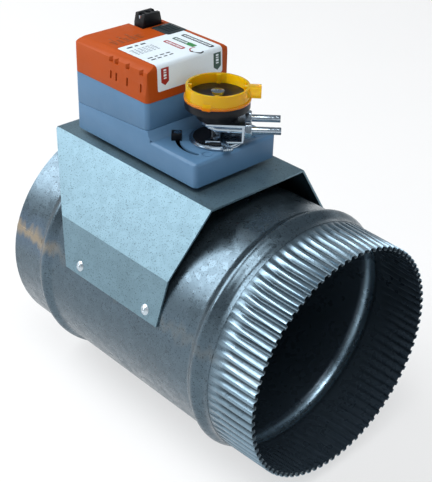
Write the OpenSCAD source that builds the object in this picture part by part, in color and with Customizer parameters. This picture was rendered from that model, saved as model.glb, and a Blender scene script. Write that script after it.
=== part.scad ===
// Motorized round duct damper. A galvanised duct section with two beads and a
// crimped end holds a round blade on a vertical shaft. A folded saddle bracket
// carries a direct-coupled rotary actuator, which clamps the shaft on top.
// The origin is the centre of the plain mouth, +X runs along the air flow to
// the crimped end, and +Z runs up along the blade shaft.

/* [Duct] */
// Inside diameter of the duct
duct_bore = 152.4; // [148:0.1:160]
// Length of the duct section from rim to rim
duct_length = 224; // [218:1:240]
// Thickness of the duct's sheet
duct_sheet = 0.6; // [0.5:0.05:0.8]
// Distance of the blade shaft from the plain mouth
shaft_x = 112; // [110:1:114]
// Height of the two stiffening beads above the duct
bead_height = 3.2; // [2.4:0.1:4]
// Width of a bead along the duct
bead_width = 15; // [12:0.5:17]
// Distance of the first bead's crest from the plain mouth
plain_bead = 35; // [30:0.5:36]
// Distance of the second bead's crest from the crimped rim
crimp_bead = 44; // [43:0.5:47]
// Length of the crimped end
crimp_length = 34; // [28:0.5:34]
// Number of flutes round the crimped end
flute_count = 84; // [60:1:90]
// Depth of a flute at the rim
flute_depth = 2.4; // [1.6:0.1:2.8]

/* [Blade] */
// Diameter of the blade shaft
shaft_d = 8; // [7:0.5:8.5]
// Thickness of each blade plate
blade_sheet = 0.8; // [0.6:0.1:1.2]
// Thickness of the seal between the two blade plates
seal_thickness = 2; // [1.5:0.25:3]
// Gap between the seal and the duct wall
seal_gap = 0.3; // [0.3:0.05:0.8]
// Width of the seal ring
seal_width = 14; // [12:0.5:16]
// Angle that the blade turns from closed to open
swing = 90; // [80:1:90]

/* [Bracket] */
// Thickness of the bracket's sheet
bracket_sheet = 1.2; // [1:0.1:1.5]
// Height of the bracket's top above the duct
bracket_rise = 8.7; // [8.4:0.1:9.5]
// Reach of the bracket's top behind the shaft
bracket_back = 110; // [104:1:111]
// Reach of the bracket's top in front of the shaft
bracket_front = 37.5; // [34:0.5:42]
// Length of the riveted flange down the duct
flange_length = 29; // [27:0.5:33]

/* [Actuator] */
// Width of the actuator
act_width = 66; // [65:0.5:72]
// Height of the actuator
act_height = 60; // [59:0.5:66]
// Reach of the actuator behind the shaft
act_back = 95; // [94:0.5:100]
// Reach of the actuator in front of the shaft
act_front = 18; // [17.5:0.5:22]
// Distance of the upper housing's front face behind the shaft
face_back = 25; // [24.5:0.1:25.5]
// Height of the low front plateau
plateau_height = 15.4; // [15:0.1:16]
// Thickness of the housing walls
act_wall = 2; // [1.6:0.1:2.2]
// Gap between the actuator and the bracket
act_gap = 3.5; // [3:0.1:5]

/* [Shaft clamp] */
// Diameter of the clamp bolt's rod
rod_d = 4.5; // [4:0.25:5]
// Distance between the clamp bolt's two legs
leg_spacing = 17.5; // [17:0.25:19]
// Reach of the clamp bolt's legs from the shaft axis
leg_reach = 38; // [32:0.5:39]
// Outer diameter of the indicator ring
ring_d = 38; // [36:0.5:41]
// Height of the indicator ring
ring_height = 8.5; // [7:0.25:10]
// Reach of the indicator's pointer tab from the shaft axis
tab_reach = 25.5; // [24:0.5:28]

/* [Hidden] */

$fn = 64;
// Overrun of every cut past the face that it opens
over = 1;
// Clearance round a piece that is assembled and stays put
fit = 0.05;
// Radial clearance of a journal in its bore
run = 0.06;
// Small gap between faces that turn or slide past each other
slip = 0.3;

// Duct
tube_r = duct_bore / 2;
tube_ro = tube_r + duct_sheet;
bead_steps = 14;
bead_x = [plain_bead, duct_length - crimp_bead];
crimp_x = duct_length - crimp_length;
// Step where the crimping tool first draws the wall in, and its draw at the rim
crimp_step = 0.2;
crimp_draw = 1;
crimp_length_shares = [0, 0.35, 1];
crimp_depth_shares = [0, 0.72, 1];
flute_point_shares = [0, 0.4, 0.5, 0.9];
// Welded seam along the duct
weld_width = 2.4;
weld_height = 0.2;
weld_angle = 17.5;

// Bracket: its wall passes over the bead and its flange lies on the duct
bracket_top = tube_ro + bracket_rise;
bead_gap = 0.2;
wall_normal = 36;
flange_normal = 18.4;
wall_reach = tube_ro + bead_height + bead_gap + bracket_sheet;
flange_reach = tube_ro + bracket_sheet;
bracket_edge = [(wall_reach - bracket_top * sin(wall_normal)) / cos(wall_normal), bracket_top];
bracket_bend = [flange_reach * sin(wall_normal) - wall_reach * sin(flange_normal),
  wall_reach * cos(flange_normal) - flange_reach * cos(wall_normal)] / sin(wall_normal - flange_normal);
bracket_foot = bracket_bend + flange_length * [sin(flange_normal), -cos(flange_normal)];
// The wall's rear edge runs forward of the first bead, and its front edge is nearly square
bend_back = shaft_x - bead_x[0] - bead_width / 2 - bead_gap;
foot_back_inset = 15;
bend_front_inset = 5;
rivet_r = 1.6;
rivet_head_r = 3.3;
rivet_head_h = 1.3;
rivet_inset = 12;
rivet_tail = 2.2;

// Shaft and its bushings
shaft_r = shaft_d / 2;
bush_wall = 2.5;
bush_r = shaft_r + bush_wall;
bush_flange = 2.5;
bush_flange_h = 1.5;
bush_length = 6;
clip_thickness = 0.8;
clip_width = 2.4;
groove_depth = 0.7;
shaft_tail = 2;
shaft_above_base = 47;

// Blade
plate_rim = 2.2;
blade_r = tube_r - plate_rim;
seal_r = tube_r - seal_gap;
channel_r = shaft_r + fit;
blade_rivet_count = 8;
blade_rivet_r = 1.5;
blade_rivet_head = 1.1;
blade_bolt_r = 2;
blade_bolt_z_share = 0.5;
blade_head_w = 7;
blade_head_h = 2.8;

// Actuator heights
base_z = bracket_top + act_gap;
plateau_z = base_z + plateau_height;
top_z = base_z + act_height;
board_drop = 14;
motor_room = 4.5;
// The line between base and middle housing climbs towards the front
part_back_share = 0.293;
part_front_share = 0.357;
part_back_z = base_z + act_height * part_back_share;
part_front_z = base_z + act_height * part_front_share;
cover_share = 0.645;
cover_z = base_z + act_height * cover_share;
half_w = act_width / 2;
inner_w = half_w - act_wall;
corner_r = 3;
edge = 1.4;
shoulder = 4.2;
cover_draft = 1;
cover_bevel = 6.5;
cover_bevel_drop = 2.8;
front_round = 2.6;
round_steps = 5;
vent_x_shares = [0.09, 0.31, 0.49, 0.58];
vent_span_share = 0.82;
vent_width = 1.5;
vent_notch = 2.6;
vent_low = 5.4;
vent_high = 10.6;
vent_depth = 0.9;

// Posts and screws that hold the housing together
post_r = 3.2;
post_merge = 0.4;
screw_r = 1.5;
screw_head_r = 2.7;
screw_head_h = 1.5;
post_x = [-act_back + act_wall + post_r - post_merge, -face_back - act_wall - post_r + post_merge];
post_y = inner_w - post_r + post_merge;
cover_post = 8.4;
housing_screw_bite = 6;

// Screws and sleeves that stand the actuator off the bracket
mount_x = [-84, -40];
mount_y = 22;
sleeve_r = 3;
mount_bite = 7.5;
mount_boss_r = 3.4;

// Gear train: each stage is a wheel that drives a pinion
pressure = 25;
backlash = 0.14;
out_teeth = 58;
out_tooth_size = 1;
wheel1_teeth = 40;
wheel1_tooth_size = 0.8;
wheel2_teeth = 36;
wheel2_tooth_size = 0.7;
pinion_teeth = 12;
gear1_x = -out_tooth_size * (out_teeth + pinion_teeth) / 2;
gear2_x = gear1_x - wheel1_tooth_size * (wheel1_teeth + pinion_teeth) / 2;
motor_x = gear2_x - wheel2_tooth_size * (wheel2_teeth + pinion_teeth) / 2;
out_first = -2;
out_last = 17;
flank_steps = 4;
cover_plate = 2;
gear_gap = 0.5;
out_gear_z = base_z + 4;
out_gear_h = 5;
wheel1_h = 3;
wheel2_h = 2.4;
gear1_z = out_gear_z;
wheel1_z = out_gear_z + out_gear_h + gear_gap;
gear2_z = wheel1_z - gear_gap / 2;
wheel2_z = wheel1_z + wheel1_h + gear_gap;
motor_gear_z = wheel2_z - gear_gap / 2;
gear_top_z = wheel2_z + wheel2_h;
pin_r = 1.5;
pin_collar = 1.5;
plate_z = gear_top_z + 3 * gear_gap;
plate_h = 1.6;
motor_h = top_z - board_drop - motor_room - plate_z - plate_h - fit;
rail_h = 2;
rail_w = 4;
rail_length = 34;
rail_x = [motor_x - rail_w - plate_h, motor_x - rail_w - plate_h + rail_length];
motor_r = 14;
motor_shaft_r = 1;
motor_nose_r = 3;

// Hub of the output gear
lower_journal_r = 9;
upper_journal_r = 12;
hub_bush_wall = 2;
collar_r = 14;
collar_teeth = 48;
tooth_depth = 0.5;
collar_h = 2.6;
hub_ring_r = 16.5;
hub_ring_h = 2.1;
hub_ring_step = 0.8;

// Clamp yoke, which turns with the shaft; the bolt points half the swing to one side
clamp_dir = swing / 2;
yoke_sheet = 1.5;
yoke_z = plateau_z + slip + collar_h + fit;
yoke_half = 12;
yoke_back = 9;
yoke_front = 16.6;
rod_r = rod_d / 2;
rod_rise = 4.2;
rod_z = yoke_z + yoke_sheet + rod_rise + rod_r;
yoke_top_z = rod_z + rod_r + slip;
nut_w = 8;
nut_h = 4;
nut_chamfer = 0.6;
rod_touch = shaft_r + rod_r + fit;
// Bend of the clamp bolt: its arms touch the shaft and meet behind it
bend_angle = acos(rod_touch * 2 / leg_spacing);
apex = rod_touch / sin(bend_angle);
rod_bend_r = 0.9 * rod_d;
bend_lap = 4;

// End stops and the ears of the yoke that meet them
stop_dir = 132;
stop_w = 6;
stop_in = 20.7;
stop_out = 27;
stop_h = 4.4;
slot_r = 23.4;
slot_w = 2.6;
stop_travel = 60;
stop_touch = asin(stop_w / 2 / stop_in) + 0.4;
ear_angle = stop_dir - stop_touch - clamp_dir;
ear_span = 14;
ear_r = 23.4;
ear_teeth = 4;
mark_r = 3;
mark_depth = 0.4;
stop_screw_r = 1.4;
stop_floor = 1.2;
stop_head_r = 2.2;
stop_head_h = 1.1;

// Indicator
ring_r = ring_d / 2;
ring_wall = 1.5;
carrier_r = ring_r + 0.6;
carrier_column_r = 12.5;
carrier_h = 5;
carrier_rise = 6.7;
carrier_z = yoke_top_z + yoke_sheet + fit;
disc_z = carrier_z + carrier_rise;
boss_h = 2.6;
boss_r = ring_r - ring_wall - run;
ring_z = disc_z + carrier_h + fit;
lip_h = 1.4;
lip_w = 1;
lug_w = 2.6;
lug_depth = 2.2;
tab_w = 6;
tab_h = 6.6;
wedge_dir = -62;
wedge_w = 5;

// Circuit board, terminals and button
board_z = top_z - board_drop;
board_h = 1.6;
board_back_gap = 3;
board_length = 35;
board_side_gap = 9;
board_far_side = 18;
board_arm = 13;
board_x = [-act_back + board_back_gap, -act_back + board_back_gap + board_length];
board_y = [-half_w + board_side_gap, half_w - board_far_side];
board_post_r = 2;
board_post_edge = 4;
board_post_inset = 11;
board_post_x = -act_back + board_post_inset;
board_post_span = 22;
board_post_y = -board_y[0] - board_post_edge;
board_posts = [[board_post_x, -board_post_y], [board_post_x + board_post_span, -board_post_y],
  [board_post_x, board_post_y]];
plate_side = board_post_y + board_post_r;
plug_inset = 5;
plug_w = 9;
plug_edge = 6.8;
plug_length = 15.2;
plug_x = [-act_back + plug_inset, -act_back + plug_inset + plug_w];
plug_y = [half_w - plug_edge - plug_length, half_w - plug_edge];
plug_margin = 0.3;
pocket_margin = 1.5;
pocket_depth = 5;
pocket_floor = 1.8;
header_wall = 1.6;
header_rise = 1.8;
header_floor = 2.2;
plug_rise = 11;
plug_taper = 1.4;
plug_foot = 5;
plug_pull = 12;
pole_count = 3;
pole_pitch = 5;
pole_r = 1.9;
pole_depth = 3;
contact_r = 0.5;
contact_h = 4;
button_gap = 3;
button_w = 17;
button_edge = 2.5;
button_length = 16;
button_x = [plug_x[1] + button_gap, plug_x[1] + button_gap + button_w];
button_y = [half_w - button_edge - button_length, half_w - button_edge];
button_h = 3;
button_proud = 0.5;
button_travel = 2.5;
button_pocket = 6;
stem_r = 3;
stem_length = 17;
spring_wire = 0.9;

// Outlines that several pieces share

module rounded_rect(x0, x1, y0, y1, r) {
  translate([x0 + r, y0]) square([x1 - x0 - 2 * r, y1 - y0]);
  translate([x0, y0 + r]) square([x1 - x0, y1 - y0 - 2 * r]);
  for (x = [x0 + r, x1 - r], y = [y0 + r, y1 - r]) translate([x, y]) circle(r, $fn = 32);
}

// A cross-section drawn as [y, z], run from x0 to x1
module run_along_x(x0, x1) {
  translate([x0, 0, 0]) rotate([90, 0, 90]) linear_extrude(x1 - x0) children();
}

// A side view drawn as [x, z], centred across the given width
module run_along_y(width) {
  translate([0, width / 2, 0]) rotate([90, 0, 0]) linear_extrude(width) children();
}

module at_shaft() {
  translate([shaft_x, 0, 0]) children();
}

module block(x, y, z) {
  translate([x[0], y[0], z[0]]) cube([x[1] - x[0], y[1] - y[0], z[1] - z[0]]);
}

module rod(z0, z1, r) {
  translate([0, 0, z0]) cylinder(h = z1 - z0, r = r);
}

module hexagon_nut(width, height, bore) {
  difference() {
    intersection() {
      cylinder(h = height, r = width / 2 / cos(30), $fn = 6);
      union() {
        cylinder(h = nut_chamfer, r1 = width / 2, r2 = width / 2 / cos(30));
        translate([0, 0, nut_chamfer]) cylinder(h = height - 2 * nut_chamfer, r = width / 2 / cos(30));
        translate([0, 0, height - nut_chamfer])
          cylinder(h = nut_chamfer, r1 = width / 2 / cos(30), r2 = width / 2);
      }
    }
    translate([0, 0, -over]) cylinder(h = height + 2 * over, r = bore);
  }
}

// Part of a flat ring between two angles, made from a wedge of straight rays
module ring_sector(r_in, r_out, a0, a1) {
  reach = r_out / cos((a1 - a0) / 8) + over;
  intersection() {
    difference() {
      circle(r_out);
      circle(r_in);
    }
    polygon([[0, 0], for (i = [0 : 4]) reach * [cos(a0 + (a1 - a0) * i / 4), sin(a0 + (a1 - a0) * i / 4)]]);
  }
}

// Duct

function bead_rise(x, centre) =
  abs(x - centre) * 2 < bead_width ? bead_height * (1 + cos(360 * (x - centre) / bead_width)) / 2 : 0;

wall_stations = [0,
  for (c = bead_x, i = [0 : bead_steps]) c + bead_width * (i / bead_steps - 0.5),
  crimp_x];
function wall_rise(x) = bead_rise(x, bead_x[0]) + bead_rise(x, bead_x[1]);

module duct_wall() {
  last = len(wall_stations) - 1;
  rotate([0, 90, 0]) rotate_extrude($fn = 180) polygon([
    for (x = wall_stations) [tube_ro + wall_rise(x), x],
    for (i = [last : -1 : 0]) [tube_r + wall_rise(wall_stations[i]), wall_stations[i]]]);
}

// The flutes deepen from a plain circle to the rim
module crimped_end() {
  points_round = flute_count * len(flute_point_shares);
  rings = len(crimp_length_shares);
  function turn(i) = 360 / flute_count * (floor(i / 4) + flute_point_shares[i % 4]);
  function wall_r(j, i) = tube_ro - crimp_step - crimp_draw * crimp_length_shares[j]
    - (i % 4 < 2 ? 0 : flute_depth * crimp_depth_shares[j]);
  function at(j, i, inset) = [crimp_x + crimp_length * crimp_length_shares[j],
    (wall_r(j, i) - inset) * cos(turn(i)), (wall_r(j, i) - inset) * sin(turn(i))];
  function o(j, i) = j * points_round + i % points_round;
  function n(j, i) = (rings + j) * points_round + i % points_round;
  polyhedron(
    points = [for (inset = [0, duct_sheet], j = [0 : rings - 1], i = [0 : points_round - 1]) at(j, i, inset)],
    faces = [
      for (j = [0 : rings - 2], i = [0 : points_round - 1]) each [
        [o(j, i), o(j + 1, i), o(j + 1, i + 1)], [o(j, i), o(j + 1, i + 1), o(j, i + 1)],
        [n(j, i), n(j + 1, i + 1), n(j + 1, i)], [n(j, i), n(j, i + 1), n(j + 1, i + 1)]],
      for (i = [0 : points_round - 1]) each [
        [o(rings - 1, i), n(rings - 1, i), n(rings - 1, i + 1)],
        [o(rings - 1, i), n(rings - 1, i + 1), o(rings - 1, i + 1)],
        [o(0, i), n(0, i + 1), n(0, i)], [o(0, i), o(0, i + 1), n(0, i + 1)]]]);
}

// Low weld bead of the longitudinal seam, on the plain stretches outside the bracket
module seam_weld() {
  half = asin(weld_width / 2 / tube_ro);
  ends = [[0, bead_x[0] - bead_width / 2], [bead_x[1] + bead_width / 2, crimp_x]];
  for (e = ends) run_along_x(e[0], e[1])
    ring_sector(tube_ro - duct_sheet / 2, tube_ro + weld_height, 180 - weld_angle - half, 180 - weld_angle + half);
}

module at_rivets() {
  for (side = [-1, 1], x = [-bend_back + foot_back_inset + rivet_inset, bracket_front - bend_front_inset - rivet_inset])
    translate([shaft_x + x, 0, 0]) rotate([-side * (90 - flange_normal), 0, 0]) children();
}

module duct_tube() {
  color("silver") difference() {
    union() {
      duct_wall();
      crimped_end();
      seam_weld();
    }
    at_shaft() rod(-tube_ro - over, tube_ro + over, bush_r + fit);
    at_rivets() rod(tube_r - rivet_tail, tube_ro + over, rivet_r + fit);
  }
}

// Bracket

function outward(a, b) = [a[1] - b[1], b[0] - a[0]] / norm(b - a);
function mitre(a, b, c, t) = let (m = outward(a, b), n = outward(b, c)) b - t * (m + n) / (1 + m * n);
function mirrored(p) = [-p[0], p[1]];

module bracket_section() {
  t = bracket_sheet;
  middle = [0, bracket_top];
  inner = [mitre(middle, bracket_edge, bracket_bend, t), mitre(bracket_edge, bracket_bend, bracket_foot, t),
    bracket_foot - t * outward(bracket_bend, bracket_foot)];
  polygon([mirrored(bracket_foot), mirrored(bracket_bend), mirrored(bracket_edge),
    bracket_edge, bracket_bend, bracket_foot,
    inner[2], inner[1], inner[0], mirrored(inner[0]), mirrored(inner[1]), mirrored(inner[2])]);
}

module bracket_side_view() {
  low = bracket_foot[1] - over;
  polygon([[-bracket_back, bracket_top + over], [bracket_front, bracket_top + over],
    [bracket_front, bracket_top - bracket_sheet], [bracket_front - bend_front_inset, bracket_bend[1]],
    [bracket_front - bend_front_inset, low], [-bend_back + foot_back_inset, low],
    [-bend_back, bracket_bend[1]], [-bracket_back, bracket_top - bracket_sheet]]);
}

module at_mounts() {
  for (x = mount_x, y = [-mount_y, mount_y]) translate([shaft_x + x, y, 0]) children();
}

module bracket() {
  color("gainsboro") difference() {
    intersection() {
      run_along_x(shaft_x - bracket_back, shaft_x + bracket_front) bracket_section();
      at_shaft() run_along_y(2 * bracket_foot[0] + 2 * over) bracket_side_view();
    }
    at_shaft() rod(bracket_top - bracket_sheet - over, bracket_top + over, bush_r + fit);
    at_mounts() rod(bracket_top - bracket_sheet - over, bracket_top + over, screw_r + fit);
    at_rivets() rod(tube_ro - over, flange_reach + over, rivet_r + fit);
  }
}

// Blind rivets: a domed head outside the flange and a spread tail inside the duct
module bracket_rivets() {
  dome_r = (rivet_head_r * rivet_head_r + rivet_head_h * rivet_head_h) / (2 * rivet_head_h);
  color("whitesmoke") at_rivets() {
    rod(tube_r - rivet_tail, flange_reach + fit, rivet_r);
    rod(tube_r - rivet_tail, tube_r - rivet_tail / 3, rivet_r * 1.4);
    intersection() {
      translate([0, 0, flange_reach + fit + rivet_head_h - dome_r]) sphere(dome_r);
      rod(flange_reach + fit, flange_reach + fit + rivet_head_h, rivet_head_r);
    }
  }
}

// Shaft bushings and clips

module lower_bushing() {
  color("ivory") at_shaft() difference() {
    union() {
      rod(-tube_ro - bush_length, -tube_r + fit, bush_r);
      rod(-tube_ro - fit - bush_flange_h, -tube_ro - fit, bush_r + bush_flange);
    }
    rod(-tube_ro - bush_length - over, -tube_r + over, shaft_r + run);
  }
}

module upper_bushing() {
  color("ivory") at_shaft() difference() {
    union() {
      rod(tube_r - fit, bracket_top + bush_flange_h, bush_r);
      rod(bracket_top + fit, bracket_top + fit + bush_flange_h, bush_r + bush_flange);
    }
    rod(tube_r - over, bracket_top + bush_flange_h + over, shaft_r + run);
  }
}

lower_clip_z = -tube_ro - bush_length - slip - clip_thickness;
upper_clip_z = bracket_top + bush_flange_h + slip;
shaft_bottom = lower_clip_z - shaft_tail;
shaft_top = base_z + shaft_above_base;

// A ring open at one side that snaps into the shaft's groove
module clip(z) {
  at_shaft() difference() {
    rod(z, z + clip_thickness, shaft_r + clip_width);
    rod(z - over, z + clip_thickness + over, shaft_r - groove_depth + fit);
    block([0, shaft_r + clip_width + over], [-shaft_r / 2, shaft_r / 2], [z - over, z + clip_thickness + over]);
  }
}

module lower_clip() {
  color("dimgray") clip(lower_clip_z);
}

module upper_clip() {
  color("dimgray") clip(upper_clip_z);
}

module at_blade_bolts() {
  for (s = [-1, 1]) translate([shaft_x, 0, s * blade_r * blade_bolt_z_share]) rotate([0, 90, 0]) children();
}

module shaft() {
  color("silver") difference() {
    at_shaft() rod(shaft_bottom, shaft_top, shaft_r);
    for (z = [lower_clip_z, upper_clip_z]) at_shaft() difference() {
      rod(z - fit, z + clip_thickness + fit, shaft_r + over);
      rod(z - over, z + clip_thickness + over, shaft_r - groove_depth);
    }
    at_blade_bolts() rod(-shaft_r - over, shaft_r + over, blade_bolt_r + fit);
  }
}

// Blade: two plates with a half-round channel for the shaft and a seal between them

module at_blade_rivets() {
  for (i = [0 : blade_rivet_count - 1]) translate([shaft_x, 0, 0])
    rotate([(i + 0.5) * 360 / blade_rivet_count, 0, 0])
      translate([0, 0, blade_r - seal_width / 2]) rotate([0, 90, 0]) children();
}

module blade_plate(side) {
  inside = seal_thickness / 2 + fit;
  difference() {
    at_shaft() intersection() {
      difference() {
        union() {
          rotate([0, side * 90, 0]) rod(inside, inside + blade_sheet, blade_r);
          rod(-blade_r + over, blade_r - over, channel_r + blade_sheet);
        }
        rod(-blade_r - over, blade_r + over, channel_r);
      }
      rotate([0, side * 90, 0]) rod(inside, blade_r, blade_r + over);
    }
    at_blade_rivets() rod(-seal_thickness, seal_thickness, blade_rivet_r + fit);
    at_blade_bolts() rod(-shaft_r - blade_bolt_r, shaft_r + blade_bolt_r, blade_bolt_r + fit);
  }
}

module front_blade_plate() {
  color("darkgray") blade_plate(1);
}

module back_blade_plate() {
  color("darkgray") blade_plate(-1);
}

module blade_seal() {
  color("dimgray") difference() {
    at_shaft() rotate([0, 90, 0]) difference() {
      rod(-seal_thickness / 2, seal_thickness / 2, seal_r);
      rod(-seal_thickness, seal_thickness, seal_r - seal_width);
    }
    at_shaft() rod(-tube_r, tube_r, channel_r + slip);
    at_blade_rivets() rod(-seal_thickness, seal_thickness, blade_rivet_r + fit);
  }
}

module blade_rivets() {
  face = seal_thickness / 2 + blade_sheet + 2 * fit;
  color("gray") at_blade_rivets() {
    rod(-face, face, blade_rivet_r);
    for (side = [0, 1]) mirror([0, 0, side]) translate([0, 0, face])
      cylinder(h = blade_rivet_head, r1 = 1.8 * blade_rivet_r, r2 = blade_rivet_r);
  }
}

// Through bolts that pin the blade to the shaft
module blade_bolts() {
  seat = channel_r + blade_sheet + fit;
  color("gray") at_blade_bolts() {
    rod(-seat - blade_head_h - fit, seat + fit, blade_bolt_r);
    translate([0, 0, seat]) cylinder(h = blade_head_h, r = blade_head_w / 2 / cos(30), $fn = 6);
  }
}

module blade_nuts() {
  seat = channel_r + blade_sheet + fit;
  color("gray") at_blade_bolts() translate([0, 0, -seat - blade_head_h])
    hexagon_nut(blade_head_w, blade_head_h, blade_bolt_r + fit);
}

// Actuator housing

module standoffs() {
  color("silver") at_mounts() difference() {
    rod(bracket_top + fit, base_z - fit, sleeve_r);
    rod(bracket_top - over, base_z + over, screw_r + fit);
  }
}

module mounting_screws() {
  head_z = bracket_top - bracket_sheet - fit;
  color("silver") at_mounts() {
    rod(head_z - fit, base_z + mount_bite, screw_r);
    difference() {
      rod(head_z - screw_head_h, head_z, screw_head_r);
      rod(head_z - screw_head_h - over, head_z - screw_head_h / 2, screw_r / 2);
    }
  }
}

module at_posts() {
  for (x = post_x, y = [-post_y, post_y]) translate([shaft_x + x, y, 0]) children();
}

module at_gear_pins() {
  for (x = [gear1_x, gear2_x]) translate([shaft_x + x, 0, 0]) children();
}

module plan(inset, front) {
  rounded_rect(shaft_x - act_back + inset, shaft_x + front - inset, -half_w + inset, half_w - inset,
    corner_r - inset / 2);
}

module bottom_cover() {
  color("slategray") difference() {
    union() {
      translate([0, 0, base_z]) linear_extrude(cover_plate) plan(act_wall + fit, act_front);
      at_mounts() rod(base_z + cover_plate / 2, base_z + mount_bite + fit, mount_boss_r);
      translate([shaft_x + gear1_x, 0, 0]) rod(base_z + cover_plate / 2, gear1_z - slip, pin_r + pin_collar);
      translate([shaft_x + gear2_x, 0, 0]) rod(base_z + cover_plate / 2, gear2_z - slip, pin_r + pin_collar);
    }
    at_shaft() rod(base_z - over, base_z + cover_plate + over, lower_journal_r + hub_bush_wall + fit);
    at_mounts() rod(base_z - over, base_z + mount_bite + over, screw_r + fit);
    at_gear_pins() rod(base_z + cover_plate / 2, gear2_z + over, pin_r + fit);
    at_posts() {
      rod(base_z - over, base_z + cover_plate + over, screw_r + fit);
      rod(base_z - over, base_z + screw_head_h, screw_head_r + fit);
    }
  }
}

// Side view of the base: a low plateau in front and a line that climbs to its shoulder
module base_side_view() {
  polygon([[-act_back, base_z], [act_front, base_z], [act_front, plateau_z - edge],
    [act_front - edge, plateau_z], [-face_back + shoulder, plateau_z],
    [-face_back + shoulder / 4, plateau_z + (part_front_z - plateau_z) / 2],
    [-face_back, part_front_z], [-act_back, part_back_z]]);
}

module slot_pocket(side) {
  centre = 360 - stop_dir;
  mid = slot_r - slot_w / 2;
  mirror([0, side > 0 ? 1 : 0, 0]) {
    ring_sector(mid, mid + slot_w, centre, centre + stop_travel);
    for (a = [centre, centre + stop_travel]) rotate(a) translate([slot_r, 0]) circle(slot_w / 2);
  }
}

module base_housing() {
  cavity_top = plateau_z - act_wall;
  color("steelblue") difference() {
    intersection() {
      translate([0, 0, base_z]) linear_extrude(act_height) plan(0, act_front);
      at_shaft() run_along_y(act_width + 2 * over) base_side_view();
      union() {
        difference() {
          block([shaft_x - act_back - over, shaft_x + act_front + over], [-act_width, act_width], [base_z, top_z]);
          translate([0, 0, base_z - over]) linear_extrude(cavity_top - base_z + over) plan(act_wall, act_front);
          translate([0, 0, cavity_top - over]) linear_extrude(act_height) plan(act_wall, -face_back);
        }
        at_posts() rod(base_z + cover_plate + fit, top_z, post_r);
        for (y = [-inner_w - over, inner_w + over - rail_w])
          block(shaft_x * [1, 1] + rail_x, [y, y + rail_w], [plate_z - fit - rail_h, plate_z - fit]);
      }
    }
    for (side = [-1, 1]) translate([shaft_x - face_back + shoulder / 2, side * half_w, plateau_z])
      rotate([45, 0, 0]) translate([0, -edge / sqrt(2), -edge / sqrt(2)])
        cube([act_front + face_back, edge * sqrt(2), edge * sqrt(2)]);
    at_shaft() rod(cavity_top - over, plateau_z + over, upper_journal_r + hub_bush_wall + fit);
    at_shaft() for (side = [-1, 1]) translate([0, 0, cavity_top - over])
      linear_extrude(act_wall + 2 * over) slot_pocket(side);
    at_shaft() for (side = [-1, 1]) rotate(side * (360 - stop_dir + stop_travel + 14) * -1)
      translate([slot_r - slot_w, 0, 0]) rod(plateau_z - mark_depth, plateau_z + over, mark_r);
    at_posts() rod(base_z, top_z, screw_r + fit);
  }
}

module mid_housing() {
  color("steelblue") difference() {
    intersection() {
      at_shaft() run_along_y(act_width + 2 * over) polygon([[-act_back, part_back_z], [-face_back, part_front_z],
        [-face_back, cover_z], [-act_back, cover_z]]);
      union() {
        translate([0, 0, base_z]) linear_extrude(act_height) difference() {
          plan(0, -face_back);
          plan(act_wall, -face_back);
        }
        at_posts() rod(base_z, top_z, post_r);
      }
    }
    at_posts() rod(base_z, top_z, screw_r + fit);
  }
}

// Cross-section of the cover, with a wide bevel on one long edge; inset gives its inside
module cover_section(inset) {
  polygon([[-half_w + inset, cover_z - over], [half_w - inset, cover_z - over], [half_w - inset, cover_z],
    [half_w - cover_draft - inset, top_z - edge - inset], [half_w - cover_draft - edge - inset, top_z - inset],
    [-half_w + cover_draft + cover_bevel + inset / 2, top_z - inset],
    [-half_w + cover_draft + inset, top_z - cover_bevel_drop - inset], [-half_w + inset, cover_z]]);
}

// Side view of the cover, with its front edge rounded over
module cover_side_view(inset) {
  r = front_round;
  front = -face_back - cover_draft - inset - r;
  polygon([[-act_back + inset, cover_z - over], [-face_back - inset, cover_z - over],
    [-face_back - inset, cover_z],
    for (i = [0 : round_steps]) [front + r * cos(90 * i / round_steps), top_z - inset - r + r * sin(90 * i / round_steps)],
    [-act_back + edge + inset, top_z - inset], [-act_back + inset, top_z - edge - inset]]);
}

module cover_form(inset) {
  intersection() {
    translate([0, 0, cover_z - (inset > 0 ? over : 0)]) linear_extrude(act_height) plan(inset, -face_back);
    run_along_x(shaft_x - act_back - over, shaft_x) cover_section(inset);
    at_shaft() run_along_y(act_width + 2 * over) cover_side_view(inset);
  }
}

// Adjustment notches and slots in the cover's long side
module cover_vents() {
  span = (act_back - face_back) * vent_span_share;
  for (s = vent_x_shares) translate([shaft_x - face_back - cover_draft - span * s, 0, 0]) {
    block([-vent_width / 2, vent_width / 2], [-half_w - over, -half_w + vent_depth + cover_draft],
      [cover_z + vent_low, cover_z + vent_high]);
    translate([0, -half_w + cover_draft, top_z - cover_bevel_drop]) rotate([0, 0, 45])
      translate([-vent_notch / 2, -vent_notch / 2, -vent_notch]) cube([vent_notch, vent_notch, act_wall * 2]);
  }
}

header_x = plug_x + [plug_margin, -plug_margin];
header_y = plug_y + [plug_margin, -plug_margin];
pocket_z = top_z - pocket_depth;
button_z = top_z + button_proud - button_h;
button_floor = top_z - button_pocket;
button_mid = [(button_x[0] + button_x[1]) / 2, (button_y[0] + button_y[1]) / 2];

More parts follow.
